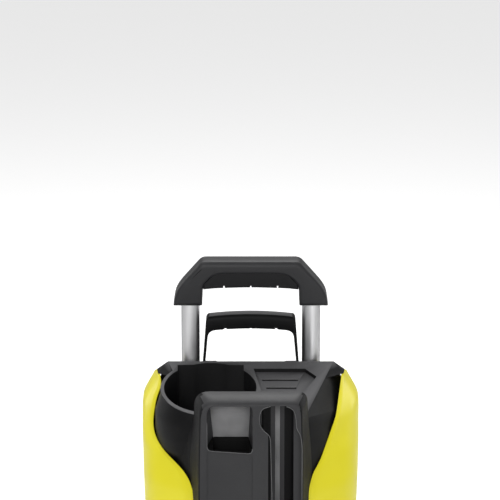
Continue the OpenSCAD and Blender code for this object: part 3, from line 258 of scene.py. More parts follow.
# %% Build the metal finishes
def metal(name, low, high, rough, spread, stretch, scale, relief):
    made, tree, shader = start_material(name, low, rough, 1.0)
    place = node(tree, "ShaderNodeTexCoord").outputs["Object"]
    mapping = node(tree, "ShaderNodeMapping")
    mapping.inputs["Scale"].default_value = stretch
    tree.links.new(place, mapping.inputs["Vector"])
    streak = noise(tree, mapping.outputs["Vector"], scale, 4.0, 0.65)
    wide = noise(tree, place, 25.0, 2.0, 0.5)
    tone = mix_color(tree, remap(tree, streak, 0.3, 0.7, 0.0, 1.0), low, high)
    tree.links.new(tone, shader.inputs["Base Color"])
    both = node(tree, "ShaderNodeMath", operation="ADD")
    tree.links.new(remap(tree, streak, 0.3, 0.7, rough - spread, rough + spread), both.inputs[0])
    tree.links.new(remap(tree, wide, 0.3, 0.7, -0.03, 0.05), both.inputs[1])
    tree.links.new(both.outputs[0], shader.inputs["Roughness"])
    bump(tree, shader, streak, relief, 0.0003)
    return made


# Two tones, roughness and its spread, how the noise is stretched along X, Y and Z, its scale and relief.
along_z = (1.0, 1.0, 30.0)
even = (1.0, 1.0, 1.0)
metal_finishes = {
    "aluminium_tube": ((0.84, 0.84, 0.85), (0.92, 0.92, 0.93), 0.42, 0.03, (60.0, 60.0, 1.0), 16.0, 0.03),
    "cast_aluminium": ((0.42, 0.42, 0.43), (0.55, 0.55, 0.56), 0.52, 0.08, even, 420.0, 0.5),
    "steel": ((0.5, 0.5, 0.51), (0.62, 0.62, 0.63), 0.28, 0.06, along_z, 60.0, 0.08),
    "electrical_steel": ((0.2, 0.2, 0.21), (0.34, 0.34, 0.35), 0.45, 0.08, (1.0, 1.0, 500.0), 4.0, 0.6),
    "copper": ((0.62, 0.25, 0.12), (0.78, 0.36, 0.18), 0.32, 0.07, along_z, 90.0, 0.3)}
for name, numbers in metal_finishes.items():
    metal(name, *numbers)
print("metals:", len(metal_finishes))

# %% [markdown]
# ## Dark edges on the tube
# A polished tube mirrors the dark parts of the room where its wall turns away. A studio full of black
# cards would show that too, but Layer Weight gives it with one node, from any side.

# %% Darken the tube towards its edges
tree = materials["aluminium_tube"].node_tree
shader = [n for n in tree.nodes if n.type == "BSDF_PRINCIPLED"][0]
edge = node(tree, "ShaderNodeLayerWeight")
edge.inputs["Blend"].default_value = 0.42
darker = node(tree, "ShaderNodeMix", data_type="RGBA")
darker.inputs[7].default_value = (0.16, 0.16, 0.17, 1.0)
base = shader.inputs["Base Color"].links[0].from_socket
tree.links.new(edge.outputs["Facing"], darker.inputs[0])
tree.links.new(base, darker.inputs[6])
tree.links.new(darker.outputs[2], shader.inputs["Base Color"])
print("edge tone linked to", shader.name)

# %% [markdown]
# ## Every part gets its finish
# The record names one material slot for each part. Linking the finish by that name, and not by hand,
# means that a part which is added later is dressed as well.

# %% Dress the parts
for name, part in nodes.items():
    part.data.materials.clear()
    part.data.materials.append(materials[slot_of[name]])
print("finishes:", sorted(materials))

# %% [markdown]
# ## Camera
# The machine is looked at from straight in front and a little above, with a long lens, so its upright
# lines stay upright.

# %% Place the camera
CAMERA_DISTANCE = 4.4
tilt = math.radians(16)
look = Vector((0, math.cos(tilt), -math.sin(tilt)))
camera_data = bpy.data.cameras.new("camera")
camera_data.lens = 223.9
camera_data.sensor_width = 36
camera = bpy.data.objects.new("camera", camera_data)
bpy.context.scene.collection.objects.link(camera)
camera.location = Vector((-0.0011, 0.0767, 0.5979)) - look * CAMERA_DISTANCE
camera.rotation_euler = (math.radians(90) - tilt, 0, 0)
camera_data.clip_end = 100
bpy.context.scene.camera = camera
print("camera at", [round(v, 3) for v in camera.location])

# %% [markdown]
# ## Floor and light
# A studio sets a machine like this on white paper, with big soft lights at both sides and behind.


# %% Lay the floor and hang the lights
def area_light(name, place, aim, size, power):
    data = bpy.data.lights.new(name, "AREA")
    data.shape = "RECTANGLE"
    data.size, data.size_y = size
    data.energy = power
    lamp = bpy.data.objects.new(name, data)
    bpy.context.scene.collection.objects.link(lamp)
    lamp.location = place
    lamp.rotation_euler = (Vector(aim) - Vector(place)).to_track_quat("-Z", "Y").to_euler()
    return lamp


floor_mesh = bpy.data.meshes.new("floor")
half = 15
corners = [(-half, -half, 0), (half, -half, 0), (half, half, 0), (-half, half, 0)]
floor_mesh.from_pydata(corners, [], [(0, 1, 2, 3)])
floor = bpy.data.objects.new("floor", floor_mesh)
bpy.context.scene.collection.objects.link(floor)
made, tree, shader = start_material("floor_paper", (0.9, 0.9, 0.9), 0.9)
paper = noise(tree, node(tree, "ShaderNodeTexCoord").outputs["Object"], 40.0)
tree.links.new(mix_color(tree, paper, (0.9, 0.9, 0.9), (0.92, 0.92, 0.92)), shader.inputs["Base Color"])
# The camera sees the paper as evenly white, like a lit sweep, while the machine gets no glow from it.
looked_at = node(tree, "ShaderNodeLightPath")
glow = remap(tree, looked_at.outputs["Is Camera Ray"], 0.0, 1.0, 0.0, 0.5)
tree.links.new(glow, shader.inputs["Emission Strength"])
shader.inputs["Emission Color"].default_value = (1.0, 1.0, 1.0, 1.0)
floor_mesh.materials.append(made)
middle = (0, 0, 0.4)
area_light("key", (-0.9, -2.6, 1.9), middle, (1.3, 1.3), 34)
area_light("fill", (1.2, -2.8, 1.2), middle, (1.0, 1.6), 17)
area_light("top", (0, 0.9, 2.4), (0, 0.1, 0.4), (1.8, 0.9), 30)
area_light("back_left", (-1.9, 1.2, 1.2), middle, (0.6, 1.6), 12)
area_light("back_right", (1.9, 1.2, 1.2), middle, (0.6, 1.6), 12)
world = bpy.data.worlds.new("studio")
world.use_nodes = True
sky = world.node_tree
backdrop = sky.nodes["Background"]
backdrop.inputs["Color"].default_value = (1, 1, 1, 1)
seen = node(sky, "ShaderNodeLightPath")
level = node(sky, "ShaderNodeMapRange")
level.inputs[3].default_value = 0.3
level.inputs[4].default_value = 1.0
sky.links.new(seen.outputs["Is Camera Ray"], level.inputs[0])
sky.links.new(level.outputs[0], backdrop.inputs["Strength"])
bpy.context.scene.world = world
bpy.context.scene.view_settings.view_transform = "Standard"

# %% [markdown]
# ## Edges that catch the light
# A moulded part has no knife edges: each one has a radius of half a millimetre or more, and it is that
# radius which shines. The CAD solids have sharp edges, so each visible one is copied, its triangles are
# merged back into whole faces, and a narrow Bevel goes on every edge sharper than 30 degrees.


# %% The finishing helper
def place_piece(piece, body, replaced=()):
    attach(piece, body)
    if replaced:
        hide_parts(*replaced)
    return piece


def new_piece(name, mesh, finish):
    piece = bpy.data.objects.new(name, mesh)
    bpy.context.scene.collection.objects.link(piece)
    mesh.materials.clear()
    mesh.materials.append(materials[finish])
    return piece


def shade(mesh, degrees=35):
    mesh.polygons.foreach_set("use_smooth", [True] * len(mesh.polygons))
    mesh.set_sharp_from_angle(angle=math.radians(degrees))


def ring_faces(rings):
    """The side faces between rings of equal length."""
    count = len(rings[0])
    faces = []
    for row in range(len(rings) - 1):
        low, high = row * count, (row + 1) * count
        for k in range(count):
            after = (k + 1) % count
            faces.append((low + k, low + after, high + after, high + k))
    return faces


def outward(mesh, fill=False):
    """Turns all faces outwards; with fill, the large end faces are cut into triangles first."""
    edit = bmesh.new()
    edit.from_mesh(mesh)
    if fill:
        large = [f for f in edit.faces if len(f.verts) > 4]
        bmesh.ops.triangulate(edit, faces=large, ngon_method="EAR_CLIP")
    bmesh.ops.recalc_face_normals(edit, faces=edit.faces)
    edit.to_mesh(mesh)
    edit.free()


def apply_modifiers(piece):
    evaluated = piece.evaluated_get(bpy.context.evaluated_depsgraph_get())
    baked = bpy.data.meshes.new_from_object(evaluated)
    piece.modifiers.clear()
    piece.data = baked
    return piece


def soft_edges(name, width, segments=2, finish=None, angle=30):
    mesh = nodes[name].data.copy()
    edit = bmesh.new()
    edit.from_mesh(mesh)
    bmesh.ops.remove_doubles(edit, verts=edit.verts, dist=2e-6)
    bmesh.ops.dissolve_limit(edit, angle_limit=math.radians(0.5), verts=edit.verts, edges=edit.edges)
    edit.to_mesh(mesh)
    edit.free()
    piece = new_piece(name + "_finished", mesh, finish or slot_of[name])
    bevel = piece.modifiers.new("edge_radius", "BEVEL")
    bevel.width = width * MM
    bevel.segments = segments
    bevel.limit_method = "ANGLE"
    bevel.angle_limit = math.radians(angle)
    apply_modifiers(piece)
    shade(piece.data)
    return place_piece(piece, body_of[name], [name])


edge_widths = {"upper_housing": 0.9, "lower_front_panel": 0.9, "base_tray": 1.2, "rear_housing": 1.0,
               "switch_knob": 0.6, "hose_release_button": 0.8, "cable_hook_upper": 0.7, "cable_hook_lower": 0.7,
               "inner_chassis": 0.6, "pressure_outlet": 0.4, "water_inlet": 0.4, "detergent_socket": 0.4,
               "guide_bushes": 0.4, "carry_handle": 1.2}
finished = {}
for name, width in edge_widths.items():
    finished[name] = soft_edges(name, width)
    print(finished[name].name, len(finished[name].data.polygons), "faces")

# %% [markdown]
# ## Side shells
# The two coloured shells are the face of the machine: big, thin, double-curved mouldings. A subdivision
# surface over a cage would do, but their cut lines must follow the housing exactly, so each is swept in
# code: an outline is worked out for many heights, rounded at its two corners, and joined to the next.


# %% Straight runs with short soft knees through tables of sizes
def smooth_table(table, knee=5.0):
    """Straight lines through (height, value) pairs, each corner eased over a few millimetres."""
    def straight(x):
        x = min(max(x, table[0][0]), table[-1][0])
        for (x0, y0), (x1, y1) in zip(table, table[1:]):
            if x <= x1:
                return y0 + (y1 - y0) * (x - x0) / (x1 - x0)

    def value(x):
        near = [min(max(x + knee * k, table[0][0]), table[-1][0]) for k in (-1, -0.5, 0, 0.5, 1)]
        return sum(straight(place) for place in near) / 5
    return value


# Each table gives a place in millimetres for heights above the floor.
right_seam_x = smooth_table([(60, 89), (150, 85), (232, 82), (297, 81), (321, 88), (336, 99), (383, 122),
                             (424, 132)])
seam_y = smooth_table([(60, -139), (150, -117), (232, -105), (297, -99), (321, -87), (336, -72), (383, -22),
                       (424, 45)])
left_seam_x = smooth_table([(60, 89), (150, 85), (232, 82), (285, 80), (297, 82), (310, 86), (320, 93),
                            (329, 104), (336, 118), (344, 129), (354, 137), (366, 140), (380, 139), (396, 136),
                            (410, 130), (416, 129), (424, 132)])
side_x = smooth_table([(60, 146), (150, 147), (232, 149), (336, 153), (383, 154), (392, 153), (424, 134)])
side_front_y = smooth_table([(60, -60), (150, -54), (232, -46), (297, -38), (336, -16), (383, 28), (424, 62)])
side_rear_y = smooth_table([(60, 76), (336, 80), (383, 82), (424, 84)])
back_x = smooth_table([(60, 134), (336, 136), (383, 137), (424, 129)])
print("side half width at 300 mm up:", round(side_x(300), 1))

# %% [markdown]
# ## One outline of a shell
# Cut level at any height, a shell is a short front face, a soft corner, a long side and a second corner
# that turns onto the rear. The corners are quadratic curves, which need only their two ends and the
# sharp corner between them. Every outline has the same number of points, so that they can be joined.


# %% Work out one outline
def quad(a, b, c, t):
    return a * (1 - t) ** 2 + b * 2 * t * (1 - t) + c * t * t


FRONT_STEPS, SIDE_STEPS = 8, 6
REAR_EDGE_Y = 107.0


def shell_outline(z, left, fine=10):
    base = Vector((right_seam_x(z), seam_y(z)))
    c = Vector((side_x(z), side_front_y(z)))
    x = left_seam_x(z) if left else base.x
    b = base + (c - base) * ((x - base.x) / (c.x - base.x))
    d = Vector((side_x(z), side_rear_y(z)))
    e = Vector((back_x(z), REAR_EDGE_Y))
    cut = min(34.0, (c - b).length * 0.6, (d - c).length * 0.48)
    c1, c2 = c + (b - c).normalized() * cut, c + (d - c).normalized() * cut
    d1 = d + (c - d).normalized() * min(14.0, (d - c).length * 0.3)
    d2 = d + (e - d).normalized() * 10
    return ([b.lerp(c1, k / FRONT_STEPS) for k in range(FRONT_STEPS)]
            + [quad(c1, c, c2, k / fine) for k in range(fine)]
            + [c2.lerp(d1, k / SIDE_STEPS) for k in range(SIDE_STEPS)]
            + [quad(d1, d, d2, k / SIDE_STEPS) for k in range(SIDE_STEPS)]
            + [d2, d2.lerp(e, 0.5), e])


AXLE_Y, AXLE_Z = 118, 88
ARCH_RADIUS = 97
SHELL_FOOT = 62.0


def arch_z(y):
    """The lower edge of a shell: level, with an arch over the wheel."""
    if y <= AXLE_Y - ARCH_RADIUS:
        return SHELL_FOOT
    return max(SHELL_FOOT, AXLE_Z + math.sqrt(ARCH_RADIUS ** 2 - (y - AXLE_Y) ** 2))


print("points in one outline:", len(shell_outline(200, True)))

# %% [markdown]
# ## Sweep both shells
# Outlines from the wheel arch to the top are joined row by row, and an inner sheet gives the moulding
# its wall. The front edge leans back in a narrow strip, as a moulded return does, and catches a pale
# line of light. A Solidify modifier would give the wall too; here the inner sheet comes from the same
# outlines, so that its rows end level with the outer ones.

# %% Sweep the skins
TOP, FALL, RIDGE = 424.0, 0.35, 66.0
STRIP_SWELL_Z, STRIP_SWELL_REACH = 285, 70


def side_shell(left, rows=96, thick=3.0, strip=5.0, drop=1.6):
    """The front edge leans back in a narrow strip, which widens low down, so that it catches the light."""
    name = "left_side_shell" if left else "right_side_shell"
    foot = shell_outline(152, left)
    rim = shell_outline(TOP, left)
    grid = []
    for row in range(rows + 1):
        line = []
        for column, (low, high) in enumerate(zip(foot, rim)):
            bottom = arch_z(low.y)
            z = bottom + (TOP - max(0.0, high.y - RIDGE) * FALL - bottom) * row / rows
            line.append((shell_outline(z, left)[column], z))
        grid.append(line)
    sign = -1 if left else 1
    rings = []
    for line in grid:
        points = [p for p, z in line]
        z0 = line[0][1]
        t = (points[1] - points[0]).normalized()
        inward = Vector((-t.y, t.x))
        swell = max(0.0, 1 - abs(z0 - STRIP_SWELL_Z) / STRIP_SWELL_REACH)
        wide = strip + swell * (9 if left else 6)
        reach = (points[FRONT_STEPS] - points[0]).length
        wide = min(wide, reach * 0.45)
        sheet = [(points[0] + inward * (drop + 0.1 * wide), z0), (points[0] + t * wide + inward * 0.05, z0)]
        for k, (p, z) in enumerate(line[1:], 1):
            if k < FRONT_STEPS:
                p = points[0] + t * (wide + (reach - wide) * k / FRONT_STEPS)
            sheet.append((p, z))
        back = []
        for k, (p, z) in enumerate(line):
            u, v = points[max(k - 1, 0)], points[min(k + 1, len(points) - 1)]
            d = (v - u).normalized()
            back.append((p + Vector((-d.y, d.x)) * thick, z))
        rings.append([Vector((p.x * sign, p.y, z)) * MM for p, z in sheet + back[::-1]])
    count = len(rings[0])
    verts = [v for ring in rings for v in ring]
    faces = ring_faces(rings)
    last = (len(rings) - 1) * count
    half = count // 2
    for start in (0, last):
        for k in range(half - 1):
            faces.append((start + k, start + k + 1, start + count - 2 - k, start + count - 1 - k))
    if count % 2:
        faces += [(start + half - 1, start + half, start + half + 1) for start in (0, last)]
    mesh = bpy.data.meshes.new(name + "_skin")
    mesh.from_pydata(verts, [], faces)
    outward(mesh)
    piece = new_piece(name + "_skin", mesh, "yellow_plastic")
    shade(mesh, 24)
    return place_piece(piece, "machine", [name])


for left in (True, False):
    made = side_shell(left)
    print(made.name, len(made.data.polygons), "faces")

# %% [markdown]
# ## Soft outlines
# A handle moulding is mostly one outline with soft corners, given depth and a generous edge radius. So
# an outline is rounded first, then stacked in rings that shrink towards the front and the back face.


# %% Outline and pillow helpers
def rounded(points, radii, steps=6):
    """A closed outline whose corners are replaced by arcs that start the given distance away."""
    out = []
    count = len(points)
    for k in range(count):
        p, a, b = Vector(points[k]), Vector(points[k - 1]), Vector(points[(k + 1) % count])
        cut = min(radii[k], (a - p).length * 0.49, (b - p).length * 0.49)
        if cut < 0.01:
            out.append(p)
            continue
        start, end = p + (a - p).normalized() * cut, p + (b - p).normalized() * cut
        out += [quad(start, p, end, j / steps) for j in range(steps + 1)]
    return out


def inset(points, distance):
    """Moves each point of a counter-clockwise outline inwards."""
    out = []
    count = len(points)
    for k in range(count):
        before = (points[k] - points[k - 1]).normalized()
        after = (points[(k + 1) % count] - points[k]).normalized()
        t = (before + after).normalized()
        lean = max(0.6, t.dot(after))
        out.append(points[k] + Vector((-t.y, t.x)) * distance / lean)
    return out


def stack(name, rings, finish="dark_grey_plastic"):
    """Joins rings of equal length into a closed solid with a flat face at either end."""
    count = len(rings[0])
    verts = [Vector(v) * MM for ring in rings for v in ring]
    faces = ring_faces(rings)
    faces += [tuple(range(count)), tuple(range((len(rings) - 1) * count, len(rings) * count))]
    mesh = bpy.data.meshes.new(name)
    mesh.from_pydata(verts, [], faces)
    outward(mesh, fill=True)
    piece = new_piece(name, mesh, finish)
    shade(mesh, 40)
    return piece


def offset_corners(points, distance):
    """Moves the straight sides of a sharp, counter-clockwise outline inwards and meets them again."""
    out = []
    count = len(points)
    for k in range(count):
        p = Vector(points[k])
        before = (p - Vector(points[k - 1])).normalized()
        after = (Vector(points[(k + 1) % count]) - p).normalized()
        n1, n2 = Vector((-before.y, before.x)), Vector((-after.y, after.x))
        out.append(p + (n1 + n2) * distance / (1 + n1.dot(n2)))
    return out


def pillow(name, points, radii, front, back, radius, finish, steps=5):
    """A thick plate with rounded corners whose front and back edges are rounded too."""
    turns = []
    for k in range(len(points)):
        a, p, b = Vector(points[k - 1]), Vector(points[k]), Vector(points[(k + 1) % len(points)])
        turns.append((p - a).cross(b - p))
    rings = []
    for k in range(steps + 1):
        a = math.pi / 2 * k / steps
        shrink, depth = radius * (1 - math.sin(a)), radius * (1 - math.cos(a))
        soft = [max(0.4, r - shrink * 0.6) if t > 0 else r + shrink * 0.6 for r, t in zip(radii, turns)]
        rings.append([(p.x, front + depth, p.y) for p in rounded(offset_corners(points, shrink), soft)])
    rings += [[(x, front + back - y, z) for x, y, z in ring] for ring in rings[::-1]]
    return stack(name, rings, finish)


def box_cutter(name, x, y, z):
    return stack(name, [[(x[0], v, z[0]), (x[1], v, z[0]), (x[1], v, z[1]), (x[0], v, z[1])] for v in y])


def cut(piece, tool):
    """Takes the tool's volume out of the piece, then removes the tool."""
    modifier = piece.modifiers.new("cut", "BOOLEAN")
    modifier.operation = "DIFFERENCE"
    modifier.solver = "EXACT"
    modifier.object = tool
    apply_modifiers(piece)
    old = tool.data
    bpy.data.objects.remove(tool)
    bpy.data.meshes.remove(old)


print("points in a rounded square:", len(rounded([(0, 0), (9, 0), (9, 9), (0, 9)], [2] * 4)))

# %% [markdown]
# ## Transport grip
# The grip is moulded in two shots: a firm body, and a softer dark insert under the bar where the fingers
# rest. A curved parting line with a hair of a gap separates them, and three notches mark the insert.

# %% Mould the grip
GRIP_FRONT, GRIP_BACK = 68, 104
CROWN_START, CROWN_REACH, CROWN_FALL = 545, 30, 5.5
grip_middle, grip_half = (GRIP_FRONT + GRIP_BACK) / 2, (GRIP_BACK - GRIP_FRONT) / 2
body_points = [(110, 517), (107, 536), (99, 549.5), (70, 585), (-70, 585), (-99, 549.5), (-107, 536),
               (-110, 517), (-69, 517), (-68, 547), (-50, 567.5), (50, 567.5), (68, 547), (69, 517)]
body_radii = [1.5, 7, 8, 7, 7, 8, 7, 1.5, 1.5, 10, 12, 12, 10, 1.5]
made = pillow("grip_body", body_points, body_radii, GRIP_FRONT, GRIP_BACK, 5.5, "grip_plastic")
for vertex in made.data.vertices:
    # The bar is crowned: its top falls away towards the front and the back.
    rise = min(1.0, max(0.0, (vertex.co.z / MM - CROWN_START) / CROWN_REACH))
    off_middle = min(1.0, abs(vertex.co.y / MM - grip_middle) / grip_half)
    vertex.co.z -= CROWN_FALL * MM * rise * off_middle ** 2
place_piece(made, "handle", ["handle_grip"])
print(made.name, len(made.data.polygons), "faces")

insert_points = [(67.6, 541), (67.0, 549), (50, 566.8), (-50, 566.8), (-67.0, 549), (-67.6, 541),
                 (-52, 542.8), (0, 544.4), (52, 542.8)]
insert_radii = [1.0, 2, 9, 9, 2, 1.0, 14, 20, 14]
made = pillow("grip_insert", insert_points, insert_radii, GRIP_FRONT + 1.5, GRIP_BACK - 1.5, 2.5,
              "grip_rubber")
for x in (-38, 0, 38):
    cut(made, box_cutter("notch", (x - 1.0, x + 1.0), (60, 110), (534, 547)))
shade(made.data, 40)
place_piece(made, "handle", ["handle_grip_insert"])
print(made.name, len(made.data.polygons), "faces")

# %% [markdown]
# ## Front column
# The column is one deep moulding. Seen from the front it is a frame with a big soft corner, a pocket for
# the gun's grip, a long scoop for the lance and a flat panel. Here a block is stacked in rings, and the
# hollows are cut from it with Boolean modifiers, whose cutters are made the same way.


# %% Stack the column's block
COLUMN_BACK, COLUMN_DEPTH = -84.3, 28.6
# Slots of the column: its main finish, grain that is also a painted highlight, painted shade in the well, and
# painted shade on the sides.
MAIN, GRAIN_AND_HIGHLIGHT, PAINTED_DEEP_SHADE, PAINTED_SIDE_SHADE = range(4)


def column_face(z):
    """Y of the column's front, which leans forward towards the floor."""
    return -113 - (433 - z) * 0.0813


def column_outline(half_low, half_top, top, left_soft, right_soft):
    points = [(-half_low, 150), (half_low, 150), (half_low, 345), (half_top, top - 36), (half_top - 1, top),
              (-half_top + 1, top), (-half_top, top - 46), (-half_low, 345)]
    return rounded(points, [2, 2, 30, 12, right_soft, left_soft, 12, 30], 7)


rings = []
# Each ring: depth behind the face, half width below and above, height, and how far it is drawn in.
for back, half_low, half_top, top, shrink in (
        (0.0, 72, 71, 431.5, 1.6), (0.6, 72, 71, 432.2, 0.7), (1.8, 72.2, 71.2, 433, 0.0),
        (6, 73.5, 72.3, 435.6, 0.0), (13, 77, 75, 438.6, 0.0), (21, 81, 77.5, 440.6, 0.0),
        (COLUMN_DEPTH, 85, 79, 441.2, 0.0)):
    ring = []
    for p in inset(column_outline(half_low, half_top, top, 21, 14), shrink):
        face = column_face(p.y)
        if back == COLUMN_DEPTH:
            y = COLUMN_BACK
        elif back >= 6:
            y = face + (COLUMN_BACK - face) * back / COLUMN_DEPTH
        else:
            y = face + back
        ring.append((p.x, y, p.y))
    rings.append(ring)
column = stack("column_skin", rings)
for finish in ("pocket_grain", "deep_black", "black_plastic"):
    column.data.materials.append(materials[finish])
print("column block:", len(column.data.polygons), "faces")

# %% [markdown]
# ## Hollows of the column
# The pocket, the panel and the scoop are hollows in the block. They could be modelled face by face, but
# a Boolean lets each hollow be described and changed by itself. The exact solver is used, because the
# bore for the lance ends in the same plane as the scoop above it.


# %% Cut the pocket, the panel and the lance scoop
def prism(name, outline, near, far):
    """An outline seen from the front, given depth between two surfaces y = near(z) and y = far(z)."""
    return stack(name, [[(p.x, near(p.y), p.y) for p in outline], [(p.x, far(p.y), p.y) for p in outline]])


IN_FRONT = -190
mouth = rounded([(-60.5, 366), (2.5, 361.5), (2.5, 429), (-60.5, 429)], [6, 6, 7, 12])
throat = rounded([(-51.5, 374), (-3.5, 372), (-0.5, 427), (-57, 427)], [5, 5, 6, 10])
cut(column, stack("pocket_cut", [[(p.x, -150, p.y) for p in mouth],
                                 [(p.x, column_face(p.y) + 3.2, p.y) for p in mouth],
                                 [(p.x, -92.5, p.y) for p in throat]]))
well = rounded([(-52.5, 305), (-2.5, 305), (-2.5, 378), (-52.5, 378)], [4, 4, 3, 3])
cut(column, prism("well_cut", well, lambda z: -112.5, lambda z: -87.6))
panel = rounded([(-60.5, 165), (2.4, 165), (2.4, 360.2), (-60.5, 364.8)], [3, 3, 1, 1])
cut(column, prism("panel_cut", panel, lambda z: IN_FRONT, lambda z: column_face(z) + 1.7))
scoop = [(24.1, 429.5), (15, 425), (11.3, 414.8), (12.6, 401.7), (17.6, 394.1), (25.1, 388.6), (27.1, 382),
         (29.3, 300), (30.5, 168), (70.4, 168), (70.6, 374), (68.5, 389), (62.6, 398), (62.4, 412), (59, 424),
         (51.1, 429.5)]
scoop_outline = rounded(scoop, [5, 6, 6, 6, 6, 5, 4, 20, 3, 3, 10, 8, 6, 6, 6, 5], 5)
cut(column, prism("scoop_cut", scoop_outline, lambda z: IN_FRONT, lambda z: column_face(z) + 9.5))
LANCE_X, LANCE_RADIUS, LANCE_DEPTH, BORE_SIDES = 37, 24.8, 21, 48
bore = []
for z in (166, 300, 429.5):
    ring = []
    for k in range(BORE_SIDES):
        a = 2 * math.pi * k / BORE_SIDES
        y = column_face(z) + LANCE_DEPTH + LANCE_RADIUS * math.sin(a)
        ring.append((LANCE_X + LANCE_RADIUS * math.cos(a), min(y, COLUMN_BACK - 2), z))
    bore.append(ring)
cut(column, stack("bore_cut", bore))
print("column with its hollows:", len(column.data.polygons), "faces")

# %% [markdown]
# ## Finishes of the hollows
# On the real column the pocket's back wall is coarsely textured. The wells below it lie in shade, which is
# painted here with a near-black finish.
# One object may carry several materials: each face holds the index of its slot, chosen here by where
# the face lies and where it looks.

# %% Give the hollows their finishes
for polygon in column.data.polygons:
    c, n = polygon.center / MM, polygon.normal
    depth = c.y - column_face(c.z)
    in_pocket = -60 < c.x < 2
    if n.y < -0.5 and in_pocket and 374 < c.z < 430 and c.y > -100:
        polygon.material_index = GRAIN_AND_HIGHLIGHT
    if 11 < c.x < 63 and c.z < 428 and depth > 11:
        # The floor of the scoop gets a painted highlight along its middle, which fades to painted shade at both
        # sides.
        off_middle = abs(c.x - LANCE_X) if n.y < -0.6 else 99
        polygon.material_index = GRAIN_AND_HIGHLIGHT if off_middle < 4.5 else MAIN if off_middle < 9 else PAINTED_SIDE_SHADE
    # The column's side walls get a darker finish: painted shade on the sides that turn from the light.
    if abs(n.x) > 0.45 and abs(c.x) > 66:
        polygon.material_index = PAINTED_SIDE_SHADE
    # The well in the pocket gets painted shade, a near-black finish.
    if in_pocket and 300 < c.z < 379 and depth > 4:
        polygon.material_index = PAINTED_DEEP_SHADE
shade(column.data, 30)
place_piece(column, "machine", ["front_column"])
print(column.name, len(column.data.polygons), "faces")

# %% [markdown]
# ## Carry handle
# The bar of the carry handle rises a little towards its middle, and three notches mark the finger side.
# A curve modifier would bend it, but it would also turn the ends. So the bar is sliced across with
# bisecting planes, which gives it vertices to move, and those are lifted along a parabola.

# %% Arch the carry handle
BAR_FROM, BAR_RISE, BAR_HALF, SLICE = 455, 3.4, 58, 6
bar = finished["carry_handle"]
edit = bmesh.new()
edit.from_mesh(bar.data)
for k in range(-9, 10):
    every = edit.verts[:] + edit.edges[:] + edit.faces[:]
    bmesh.ops.bisect_plane(edit, geom=every, plane_co=(k * SLICE * MM, 0, 0), plane_no=(1, 0, 0))
for v in edit.verts:
    if v.co.z > BAR_FROM * MM:
        v.co.z += BAR_RISE * MM * max(0.0, 1 - (v.co.x / (BAR_HALF * MM)) ** 2)
edit.to_mesh(bar.data)
edit.free()
for x in (-36, 0, 36):
    cut(bar, box_cutter("notch", (x - 1.6, x + 1.6), (50, 120), (470, 483)))
shade(bar.data, 35)
print(bar.name, len(bar.data.polygons), "faces")

# %% [markdown]
# ## Painted highlights along the lips
# A thin light grey tube lies on each lip as a painted highlight, and draws the light outline of the pocket
# and the scoop. A curve with a bevel depth gives the same tube; here the rings are placed in code, so that
# the path can follow the column's leaning face.


# %% Sweep the beads
def bead(name, path, radius, finish, sides=8):
    points = [Vector(p) for p in path]
    rings = []
    for k, p in enumerate(points):
        t = (points[min(k + 1, len(points) - 1)] - points[max(k - 1, 0)]).normalized()
        u = t.cross(Vector((0, 1, 0))).normalized()
        v = t.cross(u)
        turns = [2 * math.pi * j / sides for j in range(sides)]
        rings.append([tuple(p + (u * math.cos(a) + v * math.sin(a)) * radius) for a in turns])
    return stack(name, rings, finish)


def dense(points, longest=3.0):
    """Adds points on long runs of an open path."""
    out = []
    for a, b in zip(points, points[1:]):
        pieces = max(1, int((b - a).length / longest))
        out += [a.lerp(b, j / pieces) for j in range(pieces)]
    return out + [points[-1]]


def lip_highlight_bead(name, path, back, radius):
    """A light grey bead, a painted highlight, that follows a path on the column's face."""
    made = bead(name, [(x, column_face(z) + back, z) for x, z in dense(path)], radius, "lip_grey")
    place_piece(made, "machine")
    print(made.name, len(made.data.polygons), "faces")


# The last corner of the pocket's lip only steers the rounding of the one before it, and is dropped.
pocket_lip = rounded([(-60.3, 405), (-60.3, 366), (2.3, 361.7), (2.3, 392)], [0, 7, 7, 0])
lip_highlight_bead("pocket_lip_highlight", pocket_lip[:-1], 0.5, 0.55)
left_lip = [(27, 429), (15, 425.5), (11.3, 414.8), (12.6, 401.7), (17.6, 394.1), (25.1, 388.6), (27.1, 382),
            (29.3, 300), (30.5, 170)]
lip_highlight_bead("scoop_lip_highlight_left", rounded(left_lip, [0, 6, 6, 6, 6, 5, 4, 20, 0], 5), 0.4, 0.5)
right_lip = [(49, 429), (59, 424.5), (62.4, 412), (62.6, 398), (68.5, 389), (70.6, 374), (70.4, 170)]
lip_highlight_bead("scoop_lip_highlight_right", rounded(right_lip, [0, 6, 6, 6, 8, 10, 0], 5), 0.4, 0.5)

# %% [markdown]
# ## Painted highlights on the tray ribs
# A light grey tube on the crest of each rib of the tray is a painted highlight, a light line along the rib.
# The cover slopes, so each crest is found by casting rays straight down onto it, as a Shrinkwrap modifier
# would do.

# %% Lay the crests
RAY_START, CREST_POINTS = 600, 24
cover = nodes["upper_housing"].data
surface = BVHTree.FromPolygons([v.co for v in cover.vertices], [tuple(f.vertices) for f in cover.polygons])
for number, (x0, x1, y) in enumerate(((22, 64, 1.9), (16, 67, 22.9))):
    path = []
    for k in range(CREST_POINTS + 1):
        x = x0 + (x1 - x0) * k / CREST_POINTS
        spot = surface.ray_cast(Vector((x, y, RAY_START)) * MM, Vector((0, 0, -1)))[0]
        if spot:
            path.append((spot.x / MM, spot.y / MM, spot.z / MM + 0.1))
    made = bead("tray_crest_highlight_%d" % number, path, 0.6, "lip_grey")
    place_piece(made, "machine")
    print(made.name, len(made.data.polygons), "faces")

# %% [markdown]
# ## Tyre tread with Geometry Nodes
# A tyre's tread is one lug repeated around the rim, so the lug is modelled once and instanced on a circle
# of points. The node tree has named inputs, so another wheel can use it with other sizes.


